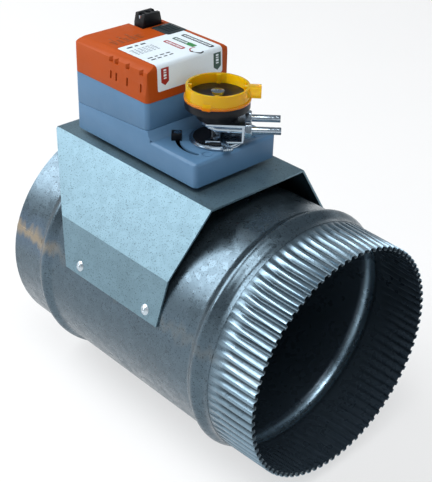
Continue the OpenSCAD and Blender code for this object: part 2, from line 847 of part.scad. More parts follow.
module top_cover() {
  m = pocket_margin;
  f = pocket_floor;
  color("orangered") difference() {
    union() {
      difference() {
        cover_form(0);
        cover_form(act_wall);
      }
      intersection() {
        cover_form(0);
        at_shaft() {
          block([-act_back, plug_x[1] + m + f], [plug_y[0] - m - f, plug_y[1] + m + f], [pocket_z - f, top_z]);
          block(button_x + [-m, m], button_y + [-m, m], [button_floor - f, top_z]);
        }
      }
      intersection() {
        cover_form(0);
        at_posts() rod(cover_z, cover_z + cover_post, post_r);
      }
    }
    at_shaft() {
      block([-act_back - over, plug_x[1] + m], plug_y + [-m, m], [pocket_z, top_z + over]);
      block(header_x + [-slip, slip], header_y + [-slip, slip], [pocket_z - f - over, pocket_z + over]);
      block(button_x, button_y, [button_floor, top_z + over]);
      translate([button_mid[0], button_mid[1], 0]) rod(button_floor - f - over, button_floor + over, stem_r + run);
    }
    cover_vents();
    at_posts() rod(cover_z - over, cover_z + housing_screw_bite + fit, screw_r + fit);
  }
}

// Long screws that run from the bottom cover through every layer
module housing_screws() {
  color("silver") at_posts() {
    rod(base_z + fit, cover_z + housing_screw_bite, screw_r);
    difference() {
      rod(base_z + fit, base_z + screw_head_h - fit, screw_head_r);
      rod(base_z, base_z + screw_head_h / 2, screw_r / 2);
    }
  }
}

// Gears

function involute(a) = tan(a) * 180 / PI - a;
function half_tooth(r, m, teeth) = let (pitch = m * teeth / 2, base = pitch * cos(pressure))
  90 / teeth - backlash / 4 / pitch * 180 / PI + involute(pressure) - involute(acos(min(1, base / r)));
function tooth_radii(m, teeth) = let (root = m * (teeth / 2 - 1.25), tip = m * (teeth / 2 + 0.95))
  [for (i = [0 : flank_steps]) root + (tip - root) * i / flank_steps];
function tooth(m, teeth, centre) = let (radii = tooth_radii(m, teeth)) [
  for (i = [0 : flank_steps]) let (a = centre - half_tooth(radii[i], m, teeth)) radii[i] * [cos(a), sin(a)],
  for (i = [flank_steps : -1 : 0]) let (a = centre + half_tooth(radii[i], m, teeth)) radii[i] * [cos(a), sin(a)]];

// A full spur gear; offset turns it by that share of a tooth from the direction first
module spur_gear(m, teeth, height, first, offset_share) {
  linear_extrude(height) polygon([for (k = [0 : teeth - 1])
    each tooth(m, teeth, first + 360 * (k + offset_share) / teeth)]);
}

module gear_sector(m, teeth, first, last, height) {
  linear_extrude(height) polygon([[0, 0], for (k = [first : last]) each tooth(m, teeth, 180 + 360 * k / teeth)]);
}

// Output gear: sector, hub and serrated collar are one moulding on the shaft
module output_gear() {
  collar_z = plateau_z + slip;
  color("dimgray") at_shaft() difference() {
    union() {
      rod(base_z + fit, out_gear_z + fit, lower_journal_r);
      rod(out_gear_z, out_gear_z + out_gear_h, collar_r);
      rod(out_gear_z, collar_z + fit, upper_journal_r);
      translate([0, 0, out_gear_z]) gear_sector(out_tooth_size, out_teeth, out_first, out_last, out_gear_h);
      translate([0, 0, collar_z]) linear_extrude(collar_h) polygon([for (i = [0 : collar_teeth - 1], k = [0, 1])
        (collar_r - k * tooth_depth) * [cos((2 * i + k) * 180 / collar_teeth), sin((2 * i + k) * 180 / collar_teeth)]]);
    }
    rod(base_z - over, collar_z + collar_h + over, shaft_r + fit);
  }
}

module lower_hub_bush() {
  color("tan") at_shaft() difference() {
    rod(base_z, base_z + cover_plate, lower_journal_r + hub_bush_wall);
    rod(base_z - over, base_z + cover_plate + over, lower_journal_r + run);
  }
}

module upper_hub_bush() {
  color("tan") at_shaft() difference() {
    rod(plateau_z - act_wall, plateau_z, upper_journal_r + hub_bush_wall);
    rod(plateau_z - act_wall - over, plateau_z + over, upper_journal_r + run);
  }
}

module gear_pins() {
  color("silver") at_gear_pins() rod(base_z + cover_plate / 2 + fit, plate_z + plate_h, pin_r);
}

module first_gear() {
  color("khaki") translate([shaft_x + gear1_x, 0, 0]) difference() {
    union() {
      translate([0, 0, gear1_z]) spur_gear(out_tooth_size, pinion_teeth, out_gear_h + gear_gap, 0, 0.5);
      translate([0, 0, wheel1_z]) spur_gear(wheel1_tooth_size, wheel1_teeth, wheel1_h, 180, 0);
      rod(wheel1_z, plate_z - slip, pin_r + pin_collar);
    }
    rod(gear1_z - over, plate_z + over, pin_r + run);
  }
}

module second_gear() {
  color("khaki") translate([shaft_x + gear2_x, 0, 0]) difference() {
    union() {
      translate([0, 0, gear2_z]) spur_gear(wheel1_tooth_size, pinion_teeth, wheel2_z - gear2_z, 0, 0.5);
      translate([0, 0, wheel2_z]) spur_gear(wheel2_tooth_size, wheel2_teeth, wheel2_h, 180, 0);
      rod(wheel2_z, plate_z - slip, pin_r + pin_collar);
    }
    rod(gear2_z - over, plate_z + over, pin_r + run);
  }
}

module motor_pinion() {
  color("goldenrod") translate([shaft_x + motor_x, 0, 0]) {
    translate([0, 0, motor_gear_z]) spur_gear(wheel2_tooth_size, pinion_teeth, gear_top_z - motor_gear_z, 0, 0.5);
    rod(gear_top_z - gear_gap, plate_z + plate_h + motor_h / 2, motor_shaft_r);
  }
}

module bearing_plate() {
  ends = [motor_x - motor_r, gear1_x + pin_r + 2 * pin_collar];
  color("lightgray") difference() {
    union() {
      at_shaft() block(ends, [-plate_side, plate_side], [plate_z, plate_z + plate_h]);
      at_shaft() block(rail_x, [-inner_w + fit, inner_w - fit], [plate_z, plate_z + plate_h]);
      for (p = board_posts) translate([shaft_x + p[0], p[1], 0]) rod(plate_z, board_z - fit, board_post_r);
    }
    at_gear_pins() rod(plate_z - over, plate_z + plate_h + over, pin_r + fit);
    translate([shaft_x + motor_x, 0, 0]) rod(plate_z - over, plate_z + plate_h + over, motor_nose_r + fit);
  }
}

module motor_can() {
  foot = plate_z + plate_h + fit;
  color("silver") translate([shaft_x + motor_x, 0, 0]) difference() {
    union() {
      rod(foot, foot + motor_h, motor_r);
      rod(plate_z, foot + over, motor_nose_r);
    }
    rod(plate_z - over, foot + motor_h / 2 + slip, motor_shaft_r + run);
  }
}

module circuit_board() {
  z = [board_z, board_z + board_h];
  color("darkgreen") at_shaft() {
    block(board_x, board_y, z);
    block([board_x[0], board_x[0] + board_arm], [board_y[0], -board_y[0]], z);
  }
}

module at_poles() {
  mid_x = (plug_x[0] + plug_x[1]) / 2;
  mid_y = (plug_y[0] + plug_y[1]) / 2;
  for (i = [0 : pole_count - 1])
    translate([shaft_x + mid_x, mid_y + (i - (pole_count - 1) / 2) * pole_pitch, 0]) children();
}

module terminal_header() {
  w = header_wall;
  bottom = board_z + board_h + fit;
  color("dimgray") {
    at_shaft() difference() {
      block(header_x, header_y, [bottom, pocket_z + header_rise]);
      block(header_x + [w, -w], header_y + [w, -w], [bottom + header_floor, pocket_z + header_rise + over]);
    }
    at_poles() rod(bottom + header_floor - fit, bottom + header_floor + contact_h, contact_r);
  }
}

// Pluggable screw terminal: a tapered body over a foot that sits in the header
module terminal_plug() {
  foot_inset = header_wall + plug_margin;
  low = pocket_z + header_rise + fit;
  high = low + plug_rise;
  bottom = board_z + board_h + fit + header_floor + fit;
  color("dimgray") difference() {
    union() {
      run_along_x(shaft_x + plug_x[0], shaft_x + plug_x[1]) polygon([[plug_y[0], low], [plug_y[1], low],
        [plug_y[1], low + plug_foot], [plug_y[1] - plug_taper, high], [plug_y[0] + plug_taper, high],
        [plug_y[0], low + plug_foot]]);
      at_shaft() block(plug_x + [foot_inset, -foot_inset] + [plug_margin, -plug_margin],
        plug_y + [foot_inset, -foot_inset] + [plug_margin, -plug_margin], [bottom, low + over]);
    }
    at_poles() rod(bottom - over, bottom + contact_h + slip, contact_r + fit);
    at_poles() rod(high - pole_depth, high + over, pole_r + fit);
  }
}

module plug_screws() {
  high = pocket_z + header_rise + fit + plug_rise;
  color("silver") at_poles() difference() {
    rod(high - pole_depth + fit, high - pole_depth / 3, pole_r);
    block([-pole_r - over, pole_r + over], [-contact_r / 2, contact_r / 2], [high - pole_depth * 0.6, high]);
  }
}

module release_button() {
  color("darkslategray") at_shaft() {
    translate([0, 0, button_z]) linear_extrude(button_h)
      rounded_rect(button_x[0] + slip, button_x[1] - slip, button_y[0] + slip, button_y[1] - slip, corner_r / 2);
    translate([button_mid[0], button_mid[1], 0]) rod(button_z - stem_length, button_z + fit, stem_r);
  }
}

// Return spring round the button's stem
module button_spring() {
  color("silver") at_shaft() translate([button_mid[0], button_mid[1], 0]) difference() {
    rod(button_floor + fit, button_z - fit, stem_r + 2 * run + spring_wire);
    rod(button_floor - over, button_z + over, stem_r + 2 * run);
  }
}

// Shaft clamp

module hub_ring() {
  z = plateau_z + slip;
  color("silver") at_shaft() difference() {
    union() {
      rod(z, z + hub_ring_h / 2, hub_ring_r);
      rod(z, z + hub_ring_h, hub_ring_r - hub_ring_step);
    }
    rod(z - over, z + hub_ring_h + over, collar_r + fit);
  }
}

module toward_clamp() {
  at_shaft() rotate([0, 0, clamp_dir]) children();
}

// The notch of a yoke flange, whose two flats bear on the shaft
module yoke_flange_outline() {
  tip = (shaft_r + fit) * sqrt(2);
  difference() {
    translate([-yoke_back, -yoke_half]) square([yoke_front + yoke_back, 2 * yoke_half]);
    polygon([[tip, 0], [-yoke_back - over, tip + yoke_back + over], [-yoke_back - over, -tip - yoke_back - over]]);
  }
}

module yoke_ears() {
  for (side = [-1, 1]) mirror([0, side > 0 ? 0 : 1, 0]) difference() {
    ring_sector(yoke_half - over, ear_r, ear_angle - ear_span, ear_angle);
    for (i = [1 : ear_teeth]) rotate(ear_angle - ear_span * i / (ear_teeth + 1))
      translate([ear_r, 0]) circle(tooth_depth, $fn = 4);
  }
}

module clamp_yoke() {
  color("silver") toward_clamp() difference() {
    union() {
      translate([0, 0, yoke_z]) linear_extrude(yoke_sheet) {
        yoke_flange_outline();
        yoke_ears();
      }
      translate([0, 0, yoke_top_z]) linear_extrude(yoke_sheet) yoke_flange_outline();
      block([yoke_front - yoke_sheet, yoke_front], [-yoke_half, yoke_half], [yoke_z, yoke_top_z + yoke_sheet]);
    }
    for (y = [-leg_spacing / 2, leg_spacing / 2]) translate([0, y, rod_z])
      rotate([0, 90, 0]) rod(yoke_front - yoke_sheet - over, yoke_front + over, rod_r + fit);
  }
}

// A bend of the bolt's rod, from the angle start through the angle turn. The rod
// thins a little as it bends, and the bend runs on into the straight at both ends.
module rod_bend(centre, start, turn) {
  translate(centre) rotate([0, 0, start - bend_lap]) rotate_extrude(angle = turn + 2 * bend_lap)
    translate([rod_bend_r, 0]) circle(rod_r - fit);
}

// V-shaped clamp bolt round the back of the shaft, with two threaded legs
module clamp_bolt() {
  leg_w = leg_spacing / 2;
  leg_start = rod_bend_r * tan(bend_angle / 2);
  tip_cut = rod_bend_r * tan(90 - bend_angle);
  arm = norm([apex, leg_w]) - leg_start - tip_cut;
  bend_centre = [leg_start, leg_w - rod_bend_r];
  arm_end = bend_centre + rod_bend_r * [-sin(bend_angle), cos(bend_angle)] - arm * [cos(bend_angle), sin(bend_angle)];
  color("silver") toward_clamp() translate([0, 0, rod_z]) {
    rod_bend([rod_bend_r / sin(bend_angle) - apex, 0], 90 + bend_angle, 180 - 2 * bend_angle);
    for (side = [0, 1]) mirror([0, side, 0]) {
      rod_bend(bend_centre, 90, bend_angle);
      translate([leg_start, leg_w, 0]) rotate([0, 90, 0]) cylinder(h = leg_reach - leg_start, r = rod_r);
      translate(arm_end) rotate([0, 0, bend_angle]) rotate([0, 90, 0]) cylinder(h = arm, r = rod_r);
    }
  }
}

module clamp_nuts() {
  color("silver") toward_clamp() for (y = [-leg_spacing / 2, leg_spacing / 2])
    translate([yoke_front + fit, y, rod_z]) rotate([0, 90, 0]) rotate([0, 0, 30]) hexagon_nut(nut_w, nut_h, rod_r + fit);
}

module at_stop(side) {
  at_shaft() rotate([0, 0, side * stop_dir]) children();
}

// End stop: a block on the plateau with a tongue in the curved slot
module stop_block(side) {
  foot = plateau_z + fit;
  at_stop(side) difference() {
    union() {
      block([stop_in, stop_out], [-stop_w / 2, stop_w / 2], [foot, foot + stop_h]);
      translate([slot_r, 0, 0]) rod(plateau_z - act_wall + fit, foot + fit, slot_w / 2 - run);
    }
    translate([slot_r, 0, 0]) {
      rod(foot + stop_floor, foot + stop_h + over, stop_screw_r + fit);
      rod(foot + stop_h - stop_head_h, foot + stop_h + over, stop_head_r + fit);
    }
  }
}

module stop_screw(side) {
  foot = plateau_z + fit;
  seat = foot + stop_h - stop_head_h + fit;
  at_stop(side) translate([slot_r, 0, 0]) {
    rod(foot + stop_floor + fit, seat + fit, stop_screw_r);
    difference() {
      rod(seat, seat + stop_head_h, stop_head_r);
      for (a = [0, 90]) rotate([0, 0, a + 45])
        block([-stop_head_r * 0.7, stop_head_r * 0.7], [-contact_r / 2, contact_r / 2],
          [seat + stop_head_h / 2, seat + stop_head_h + over]);
    }
  }
}

module fixed_stop() {
  color("dimgray") stop_block(1);
}

module fixed_stop_screw() {
  color("silver") stop_screw(1);
}

module set_stop() {
  color("dimgray") stop_block(-1);
}

module set_stop_screw() {
  color("silver") stop_screw(-1);
}

// Indicator

module indicator_carrier() {
  color("dimgray") at_shaft() difference() {
    union() {
      rod(carrier_z, disc_z + fit, carrier_column_r);
      translate([0, 0, disc_z - carrier_rise / 3])
        cylinder(h = carrier_rise / 3 + fit, r1 = carrier_column_r, r2 = carrier_r - lip_w);
      rod(disc_z, disc_z + carrier_h, carrier_r);
      rod(disc_z, ring_z + boss_h, boss_r);
    }
    rod(carrier_z - over, ring_z + boss_h + over, shaft_r + fit);
  }
}

module indicator_ring() {
  bore = ring_r - ring_wall;
  lug_z = ring_z + boss_h + slip;
  color("gold") toward_clamp() difference() {
    union() {
      rod(ring_z, ring_z + ring_height, ring_r);
      rod(ring_z, ring_z + lip_h, ring_r + lip_w);
      block([ring_r - ring_wall / 2, tab_reach], [-tab_w / 2, tab_w / 2], [ring_z + ring_height - tab_h, ring_z + ring_height]);
      rotate([0, 0, wedge_dir - clamp_dir]) run_along_y(wedge_w) polygon([[ring_r - ring_wall / 2, ring_z],
        [ring_r + 2 * lip_w, ring_z], [ring_r - ring_wall / 2, ring_z + ring_height / 2]]);
    }
    difference() {
      rod(ring_z - over, ring_z + ring_height + over, bore);
      for (a = [0 : 90 : 270]) rotate([0, 0, a])
        block([bore - lug_depth, ring_r], [-lug_w / 2, lug_w / 2], [lug_z, ring_z + ring_height - slip]);
    }
  }
}

duct_tube();
bracket();
bracket_rivets();
lower_bushing();
upper_bushing();
standoffs();
mounting_screws();
bottom_cover();
base_housing();
mid_housing();
top_cover();
housing_screws();
lower_hub_bush();
upper_hub_bush();
gear_pins();
bearing_plate();
motor_can();
circuit_board();
terminal_header();
fixed_stop();
fixed_stop_screw();
button_spring();
release_button();
set_stop();
set_stop_screw();
shaft();
lower_clip();
upper_clip();
front_blade_plate();
back_blade_plate();
blade_seal();
blade_rivets();
blade_bolts();
blade_nuts();
output_gear();
hub_ring();
clamp_yoke();
clamp_bolt();
clamp_nuts();
indicator_carrier();
indicator_ring();
first_gear();
second_gear();
motor_pinion();
terminal_plug();
plug_screws();
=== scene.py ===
"""Finishes, small fittings, printed label and stage for a motorised round duct damper.

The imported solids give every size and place. All lengths are in metres.
"""

import math

import bmesh
import bpy
from bpy.props import FloatProperty, FloatVectorProperty, IntProperty, PointerProperty
from bpy.types import Operator, Panel, PropertyGroup
from mathutils import Matrix, Vector


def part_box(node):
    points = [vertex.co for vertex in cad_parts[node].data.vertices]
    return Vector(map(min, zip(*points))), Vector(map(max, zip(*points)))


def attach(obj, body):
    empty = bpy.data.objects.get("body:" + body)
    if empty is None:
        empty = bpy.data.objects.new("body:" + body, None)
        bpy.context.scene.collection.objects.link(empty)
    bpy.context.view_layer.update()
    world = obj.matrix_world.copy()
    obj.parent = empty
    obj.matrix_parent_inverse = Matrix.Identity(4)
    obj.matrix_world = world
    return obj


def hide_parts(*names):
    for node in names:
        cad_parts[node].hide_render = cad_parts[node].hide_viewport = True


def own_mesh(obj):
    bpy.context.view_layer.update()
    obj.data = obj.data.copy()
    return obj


bl_info = {
    "name": "Round Duct Damper",
    "version": (1, 0, 0),
    "blender": (4, 5, 0),
    "location": "3D View > Sidebar > Damper",
    "description": "Dresses the packed duct damper and sets up its stage",
    "category": "Object",
}

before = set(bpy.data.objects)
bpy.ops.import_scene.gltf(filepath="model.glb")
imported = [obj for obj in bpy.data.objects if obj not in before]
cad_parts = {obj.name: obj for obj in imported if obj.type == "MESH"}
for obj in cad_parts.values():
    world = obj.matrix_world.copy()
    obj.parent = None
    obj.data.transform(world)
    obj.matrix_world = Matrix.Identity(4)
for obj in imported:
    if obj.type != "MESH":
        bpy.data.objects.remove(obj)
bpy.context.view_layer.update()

SHAFT_X = (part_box("shaft")[0].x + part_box("shaft")[1].x) / 2
# Turn of the clamp on the shaft, and how far the seam and the bracket's rivets stand above the level
CLAMP_TURN = math.radians(45)
SEAM_RISE = math.radians(17.5)
RIVET_RISE = math.radians(18.4)

# Reach of the fluted end along the duct, and the radius of its crests from start to mouth
CRIMP_X = (0.19, 0.224)
CREST_R = (0.0768, 0.0758)

# How far the duct's outside and its inside, darkened as dust and as painted shade, shine as metal
DUCT_METAL = 0.88
DUST_METAL = 0.55

# The cover's top edge is a rounding of this radius over a face that leans back by the draft
COVER_ROUND = 0.0026
COVER_DRAFT = 0.001
COVER_LOW, COVER_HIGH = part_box("top_cover")
ROUND_X = COVER_HIGH.x - COVER_DRAFT - COVER_ROUND
ROUND_Z = COVER_HIGH.z - COVER_ROUND
ROUND_STEPS = 5
ROUND_LENGTH = COVER_ROUND * math.pi / 2


def screen(red, green, blue):
    """A colour as a screen shows it, 0 to 255, as linear light."""
    shares = [part / 255 for part in (red, green, blue)]
    return tuple(s / 12.92 if s < 0.04 else ((s + 0.055) / 1.055) ** 2.4 for s in shares)


def times(colour, factor):
    """The same colour, darker or lighter."""
    return tuple(min(1.0, part * factor) for part in colour[:3])


# Properties


def colour_property(label, about, default):
    return FloatVectorProperty(
        name=label, description=about, subtype="COLOR", size=3, min=0, max=1, default=default
    )


def length_property(label, about, default):
    return FloatProperty(
        name=label, description=about, default=default, subtype="DISTANCE", unit="LENGTH", precision=5
    )


def power_property(label, about, default):
    return FloatProperty(name=label, description=about, default=default, min=0, unit="POWER")


class DamperColours(PropertyGroup):
    """Colours of the visible finishes."""

    duct_zinc: colour_property("Duct Zinc", "Zinc of the duct", screen(90, 107, 118))
    bracket_zinc: colour_property("Bracket Zinc", "Paler zinc of the bracket", screen(118, 146, 159))
    housing: colour_property("Housing", "Blue-grey plastic of the housing", screen(78, 114, 146))
    cover: colour_property("Cover", "Orange plastic of the cover", screen(162, 67, 9))
    amber: colour_property("Indicator", "Clear amber of the indicator ring", screen(255, 206, 16))
    black: colour_property("Black Parts", "Black plastic of plug, carrier and stops", screen(10, 12, 17))
    film: colour_property("Label Film", "White film of the cover label", screen(216, 228, 235))
    open_mark: colour_property("Open Mark", "Green ink of the open mark", screen(18, 62, 50))
    shut_mark: colour_property("Shut Mark", "Red ink of the shut mark", screen(140, 26, 30))


class DamperSizes(PropertyGroup):
    """Sizes of the fittings that are added to the solids."""

    label_back: length_property("Label Back Edge", "Reach of the label behind the shaft", 0.063)
    label_front: length_property("Label Front Drop", "Length of label down the front face", 0.0135)
    label_left: length_property("Label Left Edge", "Left edge of the label across the cover", -0.0244)
    label_right: length_property("Label Right Edge", "Right edge of the label across the cover", 0.0276)
    label_corner: length_property("Label Corner", "Corner radius of the label", 0.0012)
    thread_pitch: length_property("Thread Pitch", "Pitch of the thread on the clamp bolt", 0.0008)
    thread_ridge: length_property("Thread Ridge", "Radius of the thread's ridge", 0.00012)
    grip_ribs: IntProperty(
        name="Grip Ribs", description="Ribs across the release button", default=5, min=1, max=9
    )
    word_seed: IntProperty(name="Word Seed", description="Seed of the bars' lengths", default=4, min=0)


class DamperStage(PropertyGroup):
    """Floor, light and camera."""

    floor: length_property("Floor Height", "Height of the floor", -0.0862)
    key: power_property("Key Light", "Strength of the key light", 46)
    top: power_property("Top Light", "Strength of the light overhead", 20)
    fill: power_property("Fill Light", "Strength of the fill light", 1.5)
    sky: FloatProperty(name="Sky", description="Strength of the surrounding light", default=0.26, min=0)
    lens: FloatProperty(name="Lens", description="Focal length of the camera", default=77.81, unit="CAMERA")


# Node trees


class Wiring:
    """Adds nodes to a tree. Each input takes a value or the socket of another node."""

    def __init__(self, tree):
        self.tree = tree

    def add(self, kind, inputs=None, **settings):
        node = self.tree.nodes.new(kind)
        for key, value in settings.items():
            setattr(node, key, value)
        for key, value in (inputs or {}).items():
            self.feed(node.inputs[key], value)
        return node

    def feed(self, socket, value):
        if isinstance(value, bpy.types.NodeSocket):
            self.tree.links.new(value, socket)
        else:
            socket.default_value = value

    def socket(self, name, kind, way="INPUT"):
        """A new input of the tree itself, or its output."""
        return self.tree.interface.new_socket(name=name, in_out=way, socket_type="NodeSocket" + kind)


class Finish(Wiring):
    """A surface whose pattern is fixed to the piece's own coordinates."""

    def __init__(self, name, colour, settings=None):
        self.material = bpy.data.materials.new(name)
        self.material.use_nodes = True
        super().__init__(self.material.node_tree)
        self.shader = self.tree.nodes["Principled BSDF"]
        self.shader.inputs["Base Color"].default_value = (*colour[:3], 1)
        for key, value in (settings or {}).items():
            self.shader.inputs[key].default_value = value
        self.place = self.add("ShaderNodeTexCoord").outputs["Object"]

    def set(self, socket, value):
        self.feed(self.shader.inputs[socket], value)

    def noise(self, scale, detail=2.0, stretch=None):
        place = self.place
        if stretch:
            place = self.add("ShaderNodeMapping", {"Vector": place, "Scale": stretch}).outputs[0]
        inputs = {"Vector": place, "Scale": scale, "Detail": detail}
        return self.add("ShaderNodeTexNoise", inputs).outputs[0]

    def grains(self, scale):
        cells = self.add("ShaderNodeTexVoronoi", {"Vector": self.place, "Scale": scale})
        return self.add("ShaderNodeSeparateColor", {"Color": cells.outputs["Color"]}).outputs[0]

    def span(self, value, low, high, to_low=0.0, to_high=1.0):
        limits = {"Value": value, "From Min": low, "From Max": high, "To Min": to_low, "To Max": to_high}
        return self.add("ShaderNodeMapRange", limits).outputs[0]

    def sum(self, operation, first, second):
        return self.add("ShaderNodeMath", {0: first, 1: second}, operation=operation).outputs[0]

    def vector(self, operation, first, second=(0, 0, 0), output="Vector"):
        pair = {0: first, 1: second}
        return self.add("ShaderNodeVectorMath", pair, operation=operation).outputs[output]

    def tint(self, share, under, over):
        pair = [c if isinstance(c, bpy.types.NodeSocket) else (*c[:3], 1) for c in (under, over)]
        return self.add("ShaderNodeMix", {0: share, 6: pair[0], 7: pair[1]}, data_type="RGBA").outputs[2]

    def bump(self, height, depth, strength=1.0):
        bump = self.add("ShaderNodeBump", {"Height": height, "Distance": depth, "Strength": strength})
        self.set("Normal", bump.outputs[0])

    def axis(self, index):
        return self.add("ShaderNodeSeparateXYZ", {0: self.place}).outputs[index]


def zinc(name, colour, metallic, roughness, specks, spread=0.07):
    """Hot-dip zinc: faint spangle, cloudy patches and fine dark specks."""
    finish = Finish(name, colour, {"Metallic": metallic, "Specular IOR Level": 0.5})
    spangle = finish.grains(260)
    clouds = finish.noise(30, 5)
    speck = finish.span(finish.noise(1200, 2), 0.59, 0.65)
    base = finish.tint(finish.span(clouds, 0.3, 0.7), times(colour, 0.86), times(colour, 1.08))
    base = finish.tint(finish.span(spangle, 0, 1, 0, 0.3), base, times(colour, 0.7))
    base = finish.tint(finish.sum("MULTIPLY", speck, specks), base, times(colour, 0.2))
    rough = finish.sum("ADD", finish.span(spangle, 0, 1, roughness - spread, roughness + spread),
                       finish.span(clouds, 0.35, 0.7, 0, 0.09))
    finish.set("Roughness", rough)
    finish.bump(finish.noise(2200, 3), 0.00003, 0.5)
    return finish, base


def crest_wear_and_shading(finish, base, colour, radius):
    """Crests lightened, partly rubbed wear and partly a painted highlight, and valleys darkened with
    painted shade, on the fluted end.
    """
    along = finish.axis(0)
    fluted = finish.span(along, CRIMP_X[0], CRIMP_X[0] + 0.006)
    rise = finish.sum("SUBTRACT", radius, finish.span(along, *CRIMP_X, *CREST_R))
    height = finish.span(rise, -0.0018, -0.0003)
    # Valleys are darkened, a painted shade; crests are lightened, partly rubbed wear and partly a painted
    # highlight
    valley_shade = finish.sum("MULTIPLY", fluted, finish.span(height, 0, 1, 0.6, 0))
    crest_highlight_and_wear = finish.sum("MULTIPLY", fluted, finish.span(height, 0, 1, 0, 0.6))
    return finish.tint(crest_highlight_and_wear, finish.tint(valley_shade, base, times(colour, 0.4)), times(colour, 3.0))


def seam_tint(finish, base):
    """Blue and straw heat colours that wander along the welded seam."""
    across = finish.axis(1)
    seam = finish.sum("ADD", finish.sum("MULTIPLY", across, math.sin(SEAM_RISE)),
                      finish.sum("MULTIPLY", finish.axis(2), math.cos(SEAM_RISE)))
    wander = finish.span(finish.noise(55, 3, (3, 1, 1)), 0.3, 0.7, -0.004, 0.004)
    distance = finish.sum("ABSOLUTE", finish.sum("ADD", seam, wander), 0)
    side = finish.sum("MULTIPLY", finish.span(across, -0.03, -0.02, 1, 0),
                      finish.span(finish.axis(0), 0.024, 0.05, 1, 0.12))
    straw = finish.sum("MULTIPLY", finish.span(distance, 0.001, 0.006, 0.4, 0), side)
    blue = finish.sum("MULTIPLY", finish.span(distance, 0.006, 0.016, 0.4, 0), side)
    return finish.tint(straw, finish.tint(blue, base, screen(96, 116, 140)), screen(206, 176, 122))


def duct_zinc(name, colour):
    """Zinc with a heat-tinted seam, crests that are rubbed and carry a painted highlight, valleys with
    painted shade, a painted highlight on the inside of the beads, and an inside that is dusty and darkened
    by painted shade.
    """
    finish, base = zinc(name, colour, DUCT_METAL, 0.27, 0.85)
    radial = finish.vector("MULTIPLY", finish.place, (0, 1, 1))
    normal = finish.add("ShaderNodeNewGeometry").outputs["True Normal"]
    inside = finish.span(finish.vector("DOT_PRODUCT", radial, normal, "Value"), -0.012, 0.0, 1, 0)
    radius = finish.vector("LENGTH", radial, output="Value")
    # Inside, the zinc turns towards a dark grey-blue, less so on the beads: partly dust, partly painted
    # shade
    dust_and_shade = finish.sum("MULTIPLY", inside, finish.span(radius, 0.0769, 0.0777, 0.95, 0.1))
    # The inside of the beads is lightened four times: a painted highlight
    inside_bead_highlight = finish.sum("MULTIPLY", inside, finish.span(radius, 0.0774, 0.0786, 0, 0.7))
    base = crest_wear_and_shading(finish, seam_tint(finish, base), colour, radius)
    base = finish.tint(dust_and_shade, base, screen(66, 80, 92))
    finish.set("Base Color", finish.tint(inside_bead_highlight, base, times(colour, 4.0)))
    finish.set("Metallic", finish.span(dust_and_shade, 0, 1, DUCT_METAL, DUST_METAL))
    return finish.material


def plain_zinc(name, colour, metallic, roughness, specks, spread=0.07):
    """Zinc without a seam or wear."""
    finish, base = zinc(name, colour, metallic, roughness, specks, spread)
    finish.set("Base Color", base)
    return finish.material


def moulding(name, colour, roughness, grain=0.00004, settings=None):
    """Moulded plastic: fine spark-eroded grain, slight flow marks and rubbed patches."""
    finish = Finish(name, colour, {"Specular IOR Level": 0.35, **(settings or {})})
    flow = finish.noise(45, 4)
    base = finish.tint(finish.span(flow, 0.3, 0.7), times(colour, 0.95), times(colour, 1.04))
    dust = finish.span(finish.noise(900, 4), 0.64, 0.78, 0, 0.25)
    finish.set("Base Color", finish.tint(dust, base, times(colour, 1.25)))
    finish.set("Roughness", finish.span(finish.noise(130, 3), 0.3, 0.7, roughness - 0.05, roughness + 0.08))
    finish.bump(finish.noise(3600, 2), grain, 0.6)
    return finish.material


def bright_metal(name, colour, roughness, stretch=(1, 1, 14), scale=420):
    """Plated or turned metal with fine drawn lines and a few dull stains."""
    finish = Finish(name, colour, {"Metallic": 1.0})
    lines = finish.noise(scale, 4, stretch)
    stains = finish.span(finish.noise(240, 3), 0.55, 0.75)
    base = finish.tint(finish.span(lines, 0.3, 0.7), times(colour, 0.93), times(colour, 1.03))
    finish.set("Base Color", finish.tint(stains, base, times(colour, 0.82)))
    rough = finish.span(lines, 0.3, 0.7, roughness - 0.05, roughness + 0.07)
    finish.set("Roughness", finish.sum("ADD", rough, finish.sum("MULTIPLY", stains, 0.08)))
    finish.bump(lines, 0.00001, 0.3)
    return finish.material


def amber_plastic(name, colour):
    """Clear amber: deeper orange towards the foot, where the wall is thick."""
    finish = Finish(name, colour, {
        "Transmission Weight": 0.55, "IOR": 1.4, "Roughness": 0.14,
        "Subsurface Weight": 0.35, "Subsurface Scale": 0.003,
    })
    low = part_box("indicator_ring")[0].z
    foot = finish.span(finish.axis(2), low + 0.0008, low + 0.002, 0.85, 0)
    cloud = finish.span(finish.noise(240, 3), 0.3, 0.7, 0, 0.25)
    base = finish.tint(cloud, colour, times(colour, 0.86))
    finish.set("Base Color", finish.tint(foot, base, screen(244, 128, 8)))
    finish.bump(finish.noise(1500, 2), 0.00002, 0.4)
    return finish.material


def rubber(name, colour):
    """Dull rubber with a pale bloom."""
    finish = Finish(name, colour, {"Specular IOR Level": 0.3})
    bloom = finish.span(finish.noise(90, 5), 0.45, 0.75)
    finish.set("Base Color", finish.tint(bloom, screen(36, 37, 39), screen(62, 62, 60)))
    finish.set("Roughness", finish.span(finish.noise(500, 2), 0.3, 0.7, 0.62, 0.82))
    finish.bump(finish.noise(2400, 3), 0.00006)
    return finish.material


def board_lacquer(name, colour):
    """Green solder lacquer with lighter tracks under it."""
    finish = Finish(name, colour, {"Coat Weight": 0.4, "Coat Roughness": 0.15})
    cells = finish.add("ShaderNodeTexVoronoi", {"Vector": finish.place, "Scale": 420, "Randomness": 0.35},
                       feature="DISTANCE_TO_EDGE", distance="EUCLIDEAN")
    tracks = finish.span(cells.outputs["Distance"], 0.03, 0.08, 0.8, 0)
    finish.set("Base Color", finish.tint(tracks, colour, screen(64, 138, 78)))
    finish.set("Roughness", finish.span(finish.noise(300, 2), 0.3, 0.7, 0.35, 0.5))
    finish.bump(tracks, 0.00003)
    return finish.material


